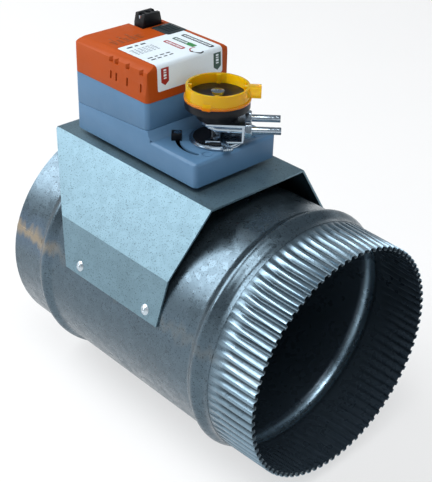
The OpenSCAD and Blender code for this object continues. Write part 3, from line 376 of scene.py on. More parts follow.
def film(name, colour):
    """White label film with a satin face and a faint fibre."""
    finish = Finish(name, colour, {"Coat Weight": 0.25, "Coat Roughness": 0.25})
    fibre = finish.noise(1400, 4, (1, 4, 1))
    grey = finish.span(finish.noise(80, 3), 0.4, 0.8, 0, 0.35)
    base = finish.tint(finish.span(fibre, 0.35, 0.7), times(colour, 0.96), times(colour, 1.03))
    finish.set("Base Color", finish.tint(grey, base, times(colour, 0.9)))
    finish.set("Roughness", finish.span(fibre, 0.3, 0.7, 0.38, 0.5))
    finish.bump(fibre, 0.00001, 0.5)
    return finish.material


def ink(name, colour):
    """Screen-printed ink that thins a little at the mesh of the screen."""
    finish = Finish(name, colour)
    mesh = finish.span(finish.noise(2600, 2), 0.4, 0.75, 0, 0.4)
    wide = finish.span(finish.noise(160, 3), 0.35, 0.7, 0, 0.3)
    base = finish.tint(wide, colour, times(colour, 1.3))
    finish.set("Base Color", finish.tint(mesh, base, times(colour, 1.8)))
    finish.set("Roughness", finish.span(mesh, 0, 0.4, 0.34, 0.5))
    finish.bump(mesh, 0.00001)
    return finish.material


# The maker of each finish, its colour or where among the properties that is found, and what else the
# maker takes
RECIPES = {
    "galvanised_duct": (duct_zinc, lambda c: c.duct_zinc),
    "galvanised_bracket": (plain_zinc, lambda c: c.bracket_zinc, 0.8, 0.43, 0.5, 0.02),
    # The blade's zinc is darkened to 0.14 of the duct's: painted shade of the inside of the duct
    "galvanised_blade": (plain_zinc, lambda c: times(c.duct_zinc, 0.14), 0.8, 0.5, 0.5),
    "rivet_aluminium": (bright_metal, screen(196, 208, 216), 0.3, (1, 1, 1), 900),
    "bright_steel": (bright_metal, screen(172, 186, 198), 0.17),
    "spring_clip_steel": (bright_metal, screen(70, 74, 80), 0.38, (1, 1, 1)),
    "bushing_nylon": (moulding, screen(226, 220, 202), 0.42, 0.00002,
                      {"Subsurface Weight": 0.15, "Subsurface Scale": 0.002}),
    "housing_blue_grey": (moulding, lambda c: c.housing, 0.46),
    "cover_orange": (moulding, lambda c: c.cover, 0.48, 0.00004, {"Specular IOR Level": 0.18}),
    "hub_bush_tan": (moulding, screen(176, 142, 96), 0.5),
    "gear_plastic": (moulding, screen(214, 204, 170), 0.36, 0.00002),
    "pinion_brass": (bright_metal, screen(196, 158, 84), 0.24),
    "motor_steel": (bright_metal, screen(168, 174, 180), 0.34, (1, 1, 6)),
    "board_green": (board_lacquer, screen(20, 84, 48)),
    "black_plastic": (moulding, lambda c: c.black, 0.34, 0.00003, {"Specular IOR Level": 0.25}),
    "button_grey_green": (moulding, screen(34, 46, 50), 0.42),
    "spring_steel": (bright_metal, screen(180, 184, 190), 0.25, (1, 1, 1)),
    "seal_rubber": (rubber, screen(40, 41, 43)),
    "indicator_amber": (amber_plastic, lambda c: c.amber),
    "label_film": (film, lambda c: c.film),
    "ink_grey": (ink, screen(96, 108, 120)),
    "ink_dark": (ink, screen(28, 34, 40)),
    "ink_green": (ink, lambda c: c.open_mark),
    "ink_leaf": (ink, screen(34, 116, 56)),
    "ink_red": (ink, lambda c: c.shut_mark),
    "ink_brown": (ink, screen(122, 62, 20)),
    "ink_white": (ink, lambda c: times(c.film, 0.95)),
}


def finish(name):
    """The finish of that name, made the first time it is asked for."""
    made = bpy.data.materials.get(name)
    if made:
        return made
    maker, colour, *details = RECIPES[name]
    if callable(colour):
        colour = colour(bpy.context.scene.damper_colours)
    return maker(name, colour, *details)


FINISHES = {
    "galvanised_duct": ["duct_tube"],
    "galvanised_bracket": ["bracket"],
    "galvanised_blade": ["front_blade_plate", "back_blade_plate"],
    "rivet_aluminium": ["bracket_rivets", "blade_rivets"],
    "bright_steel": [
        "standoffs", "mounting_screws", "housing_screws", "gear_pins", "set_stop_screw",
        "fixed_stop_screw", "shaft", "hub_ring", "clamp_yoke", "clamp_bolt", "clamp_nuts", "plug_screws",
        "blade_bolts", "blade_nuts",
    ],
    "spring_clip_steel": ["lower_clip", "upper_clip"],
    "bushing_nylon": ["lower_bushing", "upper_bushing"],
    "housing_blue_grey": ["bottom_cover", "base_housing", "mid_housing"],
    "cover_orange": ["top_cover"],
    "hub_bush_tan": ["lower_hub_bush", "upper_hub_bush"],
    "gear_plastic": ["first_gear", "second_gear"],
    "pinion_brass": ["motor_pinion"],
    "motor_steel": ["motor_can", "bearing_plate"],
    "board_green": ["circuit_board"],
    "black_plastic": [
        "output_gear", "indicator_carrier", "terminal_header", "terminal_plug", "fixed_stop", "set_stop",
    ],
    "button_grey_green": ["release_button"],
    "spring_steel": ["button_spring"],
    "seal_rubber": ["blade_seal"],
    "indicator_amber": ["indicator_ring"],
}

# Width of the softened edges of each solid that shows them
SOFT_EDGES = {
    "bracket": 0.0003, "base_housing": 0.0004, "mid_housing": 0.0006, "top_cover": 0.0006,
    "release_button": 0.0004, "terminal_plug": 0.0003, "clamp_yoke": 0.0003, "hub_ring": 0.0002,
    "set_stop": 0.0003, "fixed_stop": 0.0003, "indicator_ring": 0.0002, "indicator_carrier": 0.0003,
    "clamp_nuts": 0.0002, "clamp_bolt": 0.0003, "shaft": 0.0003,
}
# Solids with a few very short edges, to which the width of all the others isn't cut down
FREE_EDGES = {"base_housing", "mid_housing"}
# The duct's flutes read as rounded waves, so its shading runs on over steeper edges, and the bracket's
# folds and the cover's bevel stay crisp
SMOOTH_ANGLES = {"duct_tube": 78, "bracket": 10, "top_cover": 20}
PLAIN_ANGLE = 32
# A softened edge is sharper than this angle, and has this many steps
SOFT_ANGLE = 35
SOFT_STEPS = 2
# Points nearer than this become one, and so do faces that meet at less than this angle
WELD_REACH = 0.00001
FLAT_ANGLE = 0.3

# Lift and wall of the label's film, and of the ink on it and the ink over that
FILM_LIFT = 0.00012
FILM_WALL = 0.0001
INK_LIFT = 0.00015
INK_WALL = 0.00002
OVER_LIFT = 0.00018
# The lengths that a row of short bars goes through, and the gap between two bars
TICK_LENGTHS = (0.0011, 0.0007, 0.0014, 0.0009)
TICK_GAP = 0.0006
TICK_CORNER = 0.0002


def linked(name, data):
    """A new object in the scene."""
    piece = bpy.data.objects.new(name, data)
    bpy.context.scene.collection.objects.link(piece)
    return piece


def evaluated(piece):
    """The mesh that an object comes to with its modifiers."""
    graph = bpy.context.evaluated_depsgraph_get()
    return bpy.data.meshes.new_from_object(piece.evaluated_get(graph), depsgraph=graph)


class Growth(Wiring):
    """A geometry tree with named inputs, whose result is kept as a plain mesh."""

    KINDS = {int: "Int", float: "Float", tuple: "Vector"}

    def __init__(self, name, material, values):
        super().__init__(bpy.data.node_groups.new(name, "GeometryNodeTree"))
        self.name = name
        self.values = {**values, "Material": finish(material)}
        self.keys = {}
        for label, value in self.values.items():
            kind = self.KINDS.get(type(value), "Material")
            socket = self.socket(label, kind)
            if kind != "Material":
                socket.default_value = value
            self.keys[label] = socket.identifier
        self.socket("Geometry", "Geometry", "OUTPUT")
        self.given = self.add("NodeGroupInput").outputs

    def form(self, kind, inputs):
        """What a geometry node makes."""
        return self.add("GeometryNode" + kind, inputs).outputs[0]

    def moved(self, form, place=(0, 0, 0), turn=(0, 0, 0)):
        return self.form("Transform", {0: form, "Translation": place, "Rotation": turn})

    def block(self, size):
        return self.form("MeshCube", {"Size": size})

    def circle(self, sides, radius):
        return self.form("CurvePrimitiveCircle", {"Resolution": sides, "Radius": radius})

    def straight(self, start, end):
        return self.form("CurvePrimitiveLine", {"Start": start, "End": end})

    def line(self, count, start, step):
        return self.form("MeshLine", {"Count": count, "Start Location": start, "Offset": step})

    def row(self, form, name):
        """A row of copies, with the count, first place and step from the inputs of that name."""
        given = self.given
        points = self.line(given[name + " Count"], given["First " + name], given[name + " Step"])
        return self.copies(points, form)

    def solid(self, form):
        return self.form("RealizeInstances", {0: form})

    def copies(self, points, form, scale=(1, 1, 1)):
        return self.form("InstanceOnPoints", {"Points": points, "Instance": form, "Scale": scale})

    def joined(self, *forms):
        node = self.add("GeometryNodeJoinGeometry")
        for form in reversed(forms):
            self.tree.links.new(form, node.inputs[0])
        return node.outputs[0]

    def coil(self, turns, radius, height, wire, steps, sides):
        spiral = self.form("CurveSpiral", {
            "Resolution": steps, "Rotations": turns, "Height": height,
            "Start Radius": radius, "End Radius": radius,
        })
        return self.swept(spiral, self.circle(sides, wire))

    def swept(self, path, profile):
        return self.form("CurveToMesh", {"Curve": path, "Profile Curve": profile, "Fill Caps": True})

    def keep(self, form, body, slot=None):
        """Ends the tree, runs it once and keeps the result as a piece of that body."""
        inputs = {0: self.solid(form), "Material": self.given["Material"]}
        self.add("NodeGroupOutput", {0: self.form("SetMaterial", inputs)})
        piece = linked(self.name, bpy.data.meshes.new(self.name + "_start"))
        growth = piece.modifiers.new("growth", "NODES")
        growth.node_group = self.tree
        for label, value in self.values.items():
            growth[self.keys[label]] = value
        mesh = evaluated(piece)
        piece.modifiers.remove(growth)
        piece.data = mesh
        if not mesh.polygons:
            raise RuntimeError(f"{self.name} came out empty")
        return settle(piece, body)


def settle(piece, body):
    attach(piece, body)
    return piece


def smooth_tree():
    """Smooths a mesh between the edges that are sharper than the given angle."""
    tree = bpy.data.node_groups.get("smooth_between_edges")
    if tree:
        return tree
    tree = bpy.data.node_groups.new("smooth_between_edges", "GeometryNodeTree")
    tree.is_modifier = True
    wiring = Wiring(tree)
    wiring.socket("Geometry", "Geometry")
    wiring.socket("Sharpest Angle", "Float")
    wiring.socket("Geometry", "Geometry", "OUTPUT")
    given = wiring.add("NodeGroupInput").outputs
    soft = wiring.add("GeometryNodeSetShadeSmooth", {0: given[0], "Shade Smooth": True}, domain="FACE")
    angle = wiring.add("GeometryNodeInputMeshEdgeAngle").outputs[0]
    sharp = wiring.add("FunctionNodeCompare", {0: angle, 1: given[1]}, operation="GREATER_THAN").outputs[0]
    inputs = {0: soft.outputs[0], "Selection": sharp, "Shade Smooth": False}
    edged = wiring.add("GeometryNodeSetShadeSmooth", inputs, domain="EDGE")
    wiring.add("NodeGroupOutput", {0: edged.outputs[0]})
    return tree


def smooth(piece, degrees=PLAIN_ANGLE):
    tree = smooth_tree()
    modifier = piece.modifiers.new("smooth", "NODES")
    modifier.node_group = tree
    modifier[tree.interface.items_tree["Sharpest Angle"].identifier] = math.radians(degrees)


def soften(piece, width, clamp):
    bevel = piece.modifiers.new("edges", "BEVEL")
    bevel.width = width
    bevel.segments = SOFT_STEPS
    bevel.limit_method = "ANGLE"
    bevel.angle_limit = math.radians(SOFT_ANGLE)
    bevel.use_clamp_overlap = clamp


# Shapes on the cover's surface. A point is (along, y): along is measured on the surface towards the
# front, from the line where the rounding starts, so it is below zero on the top.


def on_top(x):
    """How far along the surface a place on the top lies, from its distance to the shaft."""
    return SHAFT_X + x - ROUND_X


def on_front(z):
    """How far along the surface a place on the front lies, from its height."""
    return ROUND_LENGTH + ROUND_Z - z


def on_cover(along, y, lift):
    """The place of a point of the cover's surface, lifted off it."""
    if along <= 0:
        return Vector((ROUND_X + along, y, COVER_HIGH.z + lift))
    if along <= ROUND_LENGTH:
        angle = math.pi / 2 - along / COVER_ROUND
        reach = COVER_ROUND + lift
        return Vector((ROUND_X + reach * math.cos(angle), y, ROUND_Z + reach * math.sin(angle)))
    drop = along - ROUND_LENGTH
    lean = COVER_DRAFT / (ROUND_Z - COVER_LOW.z)
    return Vector((ROUND_X + COVER_ROUND + lift + drop * lean, y, ROUND_Z - drop))


def wrap(name, outlines, material, lift=INK_LIFT, thickness=INK_WALL):
    """Flat outlines laid over the cover as one thin film."""
    sheet = bmesh.new()
    for outline in outlines:
        sheet.faces.new([sheet.verts.new((along, y, 0)) for along, y in outline])
    for step in range(ROUND_STEPS + 1):
        cut = ROUND_LENGTH * step / ROUND_STEPS
        geometry = sheet.verts[:] + sheet.edges[:] + sheet.faces[:]
        bmesh.ops.bisect_plane(sheet, geom=geometry, plane_co=(cut, 0, 0), plane_no=(1, 0, 0), dist=1e-7)
    for vertex in sheet.verts:
        vertex.co = on_cover(vertex.co.x, vertex.co.y, lift)
    sheet.normal_update()
    for face in sheet.faces:
        if face.normal.x + face.normal.z < 0:
            face.normal_flip()
    mesh = bpy.data.meshes.new(name)
    sheet.to_mesh(mesh)
    sheet.free()
    mesh.materials.append(finish(material))
    piece = linked(name, mesh)
    wall = piece.modifiers.new("film", "SOLIDIFY")
    wall.thickness = thickness
    wall.offset = -1
    smooth(piece)
    settle(piece, "damper_body")


def arc(centre, radius, start, end, steps):
    """Points of an arc, angles in degrees."""
    turns = [math.radians(start + (end - start) * i / steps) for i in range(steps + 1)]
    return [(centre[0] + radius * math.cos(a), centre[1] + radius * math.sin(a)) for a in turns]


def rounded(a0, a1, y0, y1, radius):
    """A rectangle with round corners."""
    corners = [((a1 - radius, y1 - radius), 0), ((a0 + radius, y1 - radius), 90),
               ((a0 + radius, y0 + radius), 180), ((a1 - radius, y0 + radius), 270)]
    return [point for centre, start in corners for point in arc(centre, radius, start, start + 90, 5)]


def flag(a0, a1, y0, y1, tip):
    """A tab that ends in a point towards the front."""
    return [(a0, y0), (a1 - tip, y0), (a1, (y0 + y1) / 2), (a1 - tip, y1), (a0, y1)]


def ticks(a0, a1, y, half):
    """A row of short plain bars of changing length."""
    bars = []
    start, number = a0, 0
    while start + TICK_GAP < a1:
        length = TICK_LENGTHS[number % len(TICK_LENGTHS)]
        bars.append(rounded(start, min(start + length, a1), y - half, y + half, TICK_CORNER))
        start += length + TICK_GAP
        number += 1
    return bars


def curved_arrow(centre, radius, width, start, end):
    """An arc that ends in an arrow head."""
    outer = arc(centre, radius + width / 2, start, end, 12)
    inner = arc(centre, radius - width / 2, end, start, 12)
    foot, barb, other = (arc(centre, radius + side * width, end, end, 1)[0] for side in (0, 1.5, -1.5))
    reach = math.copysign(2.4 * width, end - start)
    head = math.radians(end)
    tip = (foot[0] - reach * math.sin(head), foot[1] + reach * math.cos(head))
    return outer + [barb, tip, other] + inner


# Operators


class DAMPER_OT_finish_solids(Operator):
    """Gives every solid of the frame its finish, soft edges and smooth shading"""

    bl_idname = "damper.finish_solids"
    bl_label = "Finish Solids"

    def execute(self, context):
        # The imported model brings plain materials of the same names
        for plain in list(bpy.data.materials):
            bpy.data.materials.remove(plain)
        for name, nodes in FINISHES.items():
            for node in nodes:
                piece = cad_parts[node]
                piece.data.materials.clear()
                piece.data.materials.append(finish(name))
                weld = piece.modifiers.new("weld", "WELD")
                weld.merge_threshold = WELD_REACH
                if node in SOFT_EDGES:
                    flat = piece.modifiers.new("flat", "DECIMATE")
                    flat.decimate_type = "DISSOLVE"
                    flat.angle_limit = math.radians(FLAT_ANGLE)
                    soften(piece, SOFT_EDGES[node], node not in FREE_EDGES)
                smooth(piece, SMOOTH_ANGLES.get(node, PLAIN_ANGLE))
        bare = set(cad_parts) - {node for nodes in FINISHES.values() for node in nodes}
        if bare:
            raise RuntimeError(f"no finish for {sorted(bare)}")
        return {"FINISHED"}


class DAMPER_OT_bolt_thread(Operator):
    """Cuts the thread on both legs of the clamp bolt"""

    bl_idname = "damper.bolt_thread"
    bl_label = "Bolt Thread"

    # Where the thread starts and ends, from the shaft, and the distance between the legs
    START, END, SPREAD = 0.0209, 0.0378, 0.0175

    def execute(self, context):
        sizes = context.scene.damper_sizes
        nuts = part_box("clamp_nuts")
        low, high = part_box("clamp_bolt")
        height = (low.z + high.z) / 2
        length = self.END - self.START
        if not nuts[0].z < height < nuts[1].z:
            raise RuntimeError("the clamp bolt isn't at the height of its nuts")
        growth = Growth("bolt_thread", "bright_steel", {
            "Leg Count": 2, "First Leg": (self.START, -self.SPREAD / 2, height),
            "Leg Step": (0.0, self.SPREAD, 0.0), "Turns": length / sizes.thread_pitch, "Length": length,
            "Rod Radius": (high.z - low.z) / 2, "Ridge": sizes.thread_ridge,
            "Shaft": (SHAFT_X, 0.0, 0.0), "Clamp Turn": (0.0, 0.0, CLAMP_TURN),
        })
        given = growth.given
        ridge = growth.coil(given["Turns"], given["Rod Radius"], given["Length"], given["Ridge"], 20, 4)
        ridge = growth.moved(ridge, turn=(0, math.pi / 2, 0))
        legs = growth.solid(growth.row(ridge, "Leg"))
        legs = growth.moved(legs, given["Shaft"], given["Clamp Turn"])
        smooth(growth.keep(legs, "blade_rotor", "bright_steel"), 60)
        return {"FINISHED"}


class DAMPER_OT_rivet_pins(Operator):
    """Sets the broken pin of each blind rivet in its dome"""

    bl_idname = "damper.rivet_pins"
    bl_label = "Rivet Pins"

    # Radius of a rivet's head, and the height of its crown over the duct's axis
    HEAD, CROWN = 0.0033, 0.07932

    def execute(self, context):
        low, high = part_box("bracket_rivets")
        span = high.x - low.x - 2 * self.HEAD
        lean = math.pi / 2 - RIVET_RISE
        growth = Growth("rivet_pins", "rivet_aluminium", {
            "Rivet Count": 2, "First Rivet": (low.x + self.HEAD, 0.0, self.CROWN),
            "Rivet Step": (span, 0.0, 0.0), "Pin Radius": 0.0008, "Pin Top": 0.00055, "Pin Height": 0.0003,
            "Rim Radius": 0.00105, "Rim Wire": 0.00016,
            "Left Turn": (lean, 0.0, 0.0), "Right Turn": (-lean, 0.0, 0.0),
        })
        given = growth.given
        pin = growth.form("MeshCone", {
            "Vertices": 20, "Radius Top": given["Pin Top"], "Radius Bottom": given["Pin Radius"],
            "Depth": given["Pin Height"],
        })
        rim = growth.swept(growth.circle(24, given["Rim Radius"]), growth.circle(8, given["Rim Wire"]))
        row = growth.solid(growth.row(growth.joined(pin, rim), "Rivet"))
        left = growth.moved(row, turn=given["Left Turn"])
        right = growth.moved(row, turn=given["Right Turn"])
        smooth(growth.keep(growth.joined(left, right), "damper_body", "rivet_aluminium"), 50)
        return {"FINISHED"}


class DAMPER_OT_cover_label(Operator):
    """Lays the plain white label over the cover's top and front"""

    bl_idname = "damper.cover_label"
    bl_label = "Cover Label"

    def execute(self, context):
        sizes = context.scene.damper_sizes
        back = on_top(-sizes.label_back)
        front = ROUND_LENGTH + sizes.label_front
        outline = rounded(back, front, sizes.label_left, sizes.label_right, sizes.label_corner)
        wrap("cover_label", [outline], "label_film", FILM_LIFT, FILM_WALL)
        return {"FINISHED"}


class DAMPER_OT_label_marks(Operator):
    """Prints plain coloured badges, the turning arrows and the two end marks"""

    bl_idname = "damper.label_marks"
    bl_label = "Label Marks"

    # Ink, back end, front end and middle of each badge on the top, and half a badge's width
    BADGE_HALF = 0.0019
    BADGES = {
        "badge_ink_dark": ("ink_dark", -0.056, -0.0285, 0.0222),
        "badge_ink_green": ("ink_green", -0.0555, -0.036, 0.0143),
        "badge_ink_red": ("ink_red", -0.055, -0.0375, 0.0065),
    }
    # Ink, upper end, lower end and sides of each end mark on the front
    MARKS = {
        "mark_shut": ("ink_red", 0.1468, 0.1360, -0.0216, -0.0156),
        "mark_open": ("ink_green", 0.1460, 0.1350, 0.0203, 0.0264),
    }
    MARK_TIP = 0.0022
    # Ends and sides of the plain block between the badges
    BLOCK = (-0.043, -0.036, 0.0122, 0.0164)
    # Middle, radius and width of the two turning arrows, and each one's ink and its ends in degrees
    ARROW_PLACE = (-0.031, 0.0112)
    ARROW_SIZES = (0.0042, 0.0008)
    ARROWS = {"arrow_shut": ("ink_red", 150, 262), "arrow_open": ("ink_dark", 30, -82)}

    def execute(self, context):
        for name, (colour, back, front, y) in self.BADGES.items():
            a0, a1 = on_top(back), on_top(front)
            wrap(name, [rounded(a0, a1, y - self.BADGE_HALF, y + self.BADGE_HALF, 0.0011)], colour)
            self.bars(name, a0 + 0.0016, a1 - 0.0012, y, 0.0009)
        back, front, y0, y1 = self.BLOCK
        block = rounded(on_top(back), on_top(front), y0, y1, 0.0006)
        wrap("badge_block", [block], "ink_leaf", OVER_LIFT + INK_WALL)
        centre = (on_top(self.ARROW_PLACE[0]), self.ARROW_PLACE[1])
        for name, (colour, start, end) in self.ARROWS.items():
            wrap(name, [curved_arrow(centre, *self.ARROW_SIZES, start, end)], colour)
        for name, (colour, top, foot, y0, y1) in self.MARKS.items():
            a0, a1 = on_front(top), on_front(foot)
            wrap(name, [flag(a0, a1, y0, y1, self.MARK_TIP)], colour)
            self.bars(name, a0 + 0.001, a1 - 0.003, (y0 + y1) / 2, 0.0011)
        return {"FINISHED"}

    def bars(self, name, start, end, y, half):
        wrap(name + "_ticks", ticks(start, end, y, half), "ink_white", OVER_LIFT)


class DAMPER_OT_label_words(Operator):
    """Prints rows of plain bars where a label has its small print"""

    bl_idname = "damper.label_words"
    bl_label = "Label Words"

    # Ink, rows, bars in a row, pitch and width of the bars, and the place of the first from the shaft
    ROWS = {
        "words_cover": ("ink_brown", 3, 5, 0.0048, 0.0009, -0.0735, -0.0200),
        "words_head": ("ink_dark", 1, 3, 0.0052, 0.0016, -0.0592, -0.0178),
        "words_body": ("ink_grey", 5, 6, 0.0031, 0.0007, -0.0545, -0.0205),
        "words_foot": ("ink_dark", 2, 4, 0.0046, 0.0012, -0.0385, -0.0190),
    }
    BAR_LIFT = 0.00013
    BAR_WALL = 0.00003
    # Distance of two rows in widths of a bar, and the shortest and longest bar in pitches
    ROW_STEP = 2.6
    SHORTEST, LONGEST = 0.45, 0.85

    def execute(self, context):
        seed = context.scene.damper_sizes.word_seed
        for name, (colour, rows, words, pitch, width, x, y) in self.ROWS.items():
            growth = Growth(name, colour, {
                "Row Count": rows, "First Row": (SHAFT_X + x, y, COVER_HIGH.z + self.BAR_LIFT),
                "Row Step": (self.ROW_STEP * width, 0.0, 0.0), "Words": words,
                "Word Step": (0.0, pitch, 0.0), "Shortest": (width, self.SHORTEST * pitch, self.BAR_WALL),
                "Longest": (width, self.LONGEST * pitch, self.BAR_WALL), "Seed": seed,
            })
            given = growth.given
            row = growth.line(given["Words"], (0, 0, 0), given["Word Step"])
            points = growth.solid(growth.row(row, "Row"))
            limits = {0: given["Shortest"], 1: given["Longest"], "Seed": given["Seed"]}
            size = growth.add("FunctionNodeRandomValue", limits, data_type="FLOAT_VECTOR").outputs[0]
            growth.keep(growth.copies(points, growth.block((1, 1, 1)), size), "damper_body")
        return {"FINISHED"}


class DAMPER_OT_cover_numbers(Operator):
    """Raises the plain terminal numbers 1 to 3 on the cover behind the label"""

    bl_idname = "damper.cover_numbers"
    bl_label = "Cover Numbers"

    # Place of the numbers' corner, from the shaft
    PLACE = (-0.0755, -0.0195)

    def execute(self, context):
        text = bpy.data.curves.new("cover_numbers", "FONT")
        text.body = "1   2   3"
        text.size = 0.0048
        text.extrude = 0.00012
        text.bevel_depth = 0.00005
        flat = linked("cover_numbers_text", text)
        mesh = evaluated(flat)
        bpy.data.objects.remove(flat)
        place = Matrix.Translation((SHAFT_X + self.PLACE[0], self.PLACE[1], COVER_HIGH.z))
        mesh.transform(place @ Matrix.Rotation(math.pi / 2, 4, "Z"))
        mesh.materials.clear()
        mesh.materials.append(finish("ink_brown"))
        settle(linked("cover_numbers", mesh), "damper_body")
        return {"FINISHED"}


class DAMPER_OT_button_grip(Operator):
    """Raises the grip ribs on the release button"""

    bl_idname = "damper.button_grip"
    bl_label = "Button Grip"

    # Distance of one rib to the next, and of the ribs' ends to the button's edge
    PITCH, EDGE = 0.0022, 0.0025

    def execute(self, context):
        count = context.scene.damper_sizes.grip_ribs
        low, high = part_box("release_button")
        first = (low.x + high.x) / 2 - self.PITCH * (count - 1) / 2
        growth = Growth("button_grip", "button_grey_green", {
            "Rib Count": count, "First Rib": (first, low.y + self.EDGE, high.z),
            "Rib Step": (self.PITCH, 0.0, 0.0), "Rib End": (0.0, high.y - low.y - 2 * self.EDGE, 0.0),
            "Rib Radius": 0.0004,
        })
        path = growth.straight((0, 0, 0), growth.given["Rib End"])
        ribs = growth.row(growth.swept(path, growth.circle(10, growth.given["Rib Radius"])), "Rib")
        smooth(growth.keep(ribs, "release_button", "button_grey_green"), 50)
        return {"FINISHED"}


class DAMPER_OT_plug_entries(Operator):
    """Frames the three wire entries in the back of the terminal plug"""

    bl_idname = "damper.plug_entries"
    bl_label = "Plug Entries"

    # Radius of a terminal screw, and how far an entry's middle lies under the plug's top
    SCREW, DROP = 0.0019, 0.0075

    def execute(self, context):
        low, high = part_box("terminal_plug")
        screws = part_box("plug_screws")
        first = screws[0].y + self.SCREW
        step = (screws[1].y - self.SCREW - first) / 2
        growth = Growth("plug_entries", "black_plastic", {
            "Entry Count": 3, "First Entry": (low.x, first, high.z - self.DROP),
            "Entry Step": (0.0, step, 0.0), "Width": 0.0034, "Height": 0.0042, "Rim": 0.0003,
            "Tongue": (0.0003, 0.0022, 0.0006),
        })
        given = growth.given
        sizes = {"Width": given["Height"], "Height": given["Width"]}
        edge = growth.form("CurvePrimitiveQuadrilateral", sizes)
        rim = growth.moved(growth.swept(edge, growth.circle(8, given["Rim"])), turn=(0, math.pi / 2, 0))
        entries = growth.row(growth.joined(rim, growth.block(given["Tongue"])), "Entry")
        smooth(growth.keep(entries, "plug", "black_plastic"), 50)
        return {"FINISHED"}


class DAMPER_OT_button_coil(Operator):
    """Winds the return spring under the release button"""

    bl_idname = "damper.button_coil"
    bl_label = "Button Coil"

    # Radius of the wire, and how far its middle lies inside the spring's outside
    WIRE, INSET = 0.0003, 0.0005

    def execute(self, context):
        low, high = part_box("button_spring")
        centre = (low + high) / 2
        growth = Growth("button_coil", "spring_steel", {
            "Turns": 2.5, "Radius": (high.x - low.x) / 2 - self.INSET,
            "Height": high.z - low.z - 2 * self.WIRE, "Wire": self.WIRE,
            "Seat": (centre.x, centre.y, low.z + self.WIRE),
        })
        given = growth.given
        coil = growth.coil(given["Turns"], given["Radius"], given["Height"], given["Wire"], 36, 8)
        piece = growth.keep(growth.moved(coil, given["Seat"]), "damper_body", "spring_steel")
        smooth(piece, 60)
        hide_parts("button_spring")
        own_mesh(piece)
        return {"FINISHED"}


class DAMPER_OT_board_parts(Operator):
    """Solders the chips and the capacitors onto the circuit board"""

    bl_idname = "damper.board_parts"
    bl_label = "Board Parts"

    # Distance of the first chip and of the first capacitor to the board's nearest edges
    CHIP_GAP, CAN_GAP = (0.008, 0.006), (0.006, 0.006)
    # Sizes of a chip and of its lid, and the height at which its legs hold it
    CHIP, LID, STAND = (0.005, 0.006, 0.0012), (0.0044, 0.0054, 0.0002), 0.0003
    # How far out and how high a leg starts, and where it ends
    LEG_TOP, LEG_FOOT = (0.0024, 0.0009), (0.0034, 0.0001)
    # Radius, height and foot bead of a capacitor, and how far it sinks into its solder
    CAN_RADIUS, CAN_HEIGHT, CAN_BEAD, CAN_SINK = 0.0025, 0.006, 0.0003, 0.00005

    def execute(self, context):
        low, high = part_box("circuit_board")
        first = (low.x + self.CHIP_GAP[0], low.y + self.CHIP_GAP[1], high.z)
        chips = {"Chip Count": 3, "First Chip": first, "Chip Step": (0.0, 0.009, 0.0)}
        self.bodies(chips)
        self.legs(chips)
        self.cans((high.x - self.CAN_GAP[0], low.y + self.CAN_GAP[1], high.z))
        return {"FINISHED"}

    def bodies(self, chips):
        growth = Growth("board_chips", "black_plastic", {**chips, "Body": self.CHIP, "Lid": self.LID})
        middle = self.STAND + self.CHIP[2] / 2
        top = self.STAND + self.CHIP[2] + self.LID[2] / 2
        body = growth.moved(growth.block(growth.given["Body"]), (0, 0, middle))
        lid = growth.moved(growth.block(growth.given["Lid"]), (0, 0, top))
        chips = growth.row(growth.joined(body, lid), "Chip")
        smooth(growth.keep(chips, "damper_body", "black_plastic"))

    def legs(self, chips):
        growth = Growth("board_chip_legs", "bright_steel", {
            **chips, "Leg Count": 4, "First Leg": (0.0, -0.0021, 0.0), "Leg Step": (0.0, 0.0014, 0.0),
            "Wire": 0.0002,
        })
        (start, top), (end, foot) = self.LEG_TOP, self.LEG_FOOT
        wire = growth.circle(8, growth.given["Wire"])
        pair = [growth.swept(growth.straight((side * start, 0, top), (side * end, 0, foot)), wire)
                for side in (-1, 1)]
        legs = growth.row(growth.row(growth.joined(*pair), "Leg"), "Chip")
        smooth(growth.keep(legs, "damper_body", "bright_steel"), 60)

    def cans(self, first):
        growth = Growth("board_capacitors", "motor_steel", {
            "Can Count": 3, "First Can": first, "Can Step": (0.0, 0.008, 0.0),
            "Radius": self.CAN_RADIUS, "Height": self.CAN_HEIGHT, "Bead": self.CAN_BEAD,
        })
        given = growth.given
        sizes = {"Vertices": 32, "Radius": given["Radius"], "Depth": given["Height"]}
        can = growth.moved(growth.form("MeshCylinder", sizes), (0, 0, self.CAN_HEIGHT / 2 - self.CAN_SINK))
        bead = growth.swept(growth.circle(32, given["Radius"]), growth.circle(8, given["Bead"]))
        bead = growth.moved(bead, (0, 0, self.CAN_BEAD - self.CAN_SINK))
        smooth(growth.keep(growth.row(growth.joined(can, bead), "Can"), "damper_body", "motor_steel"), 50)


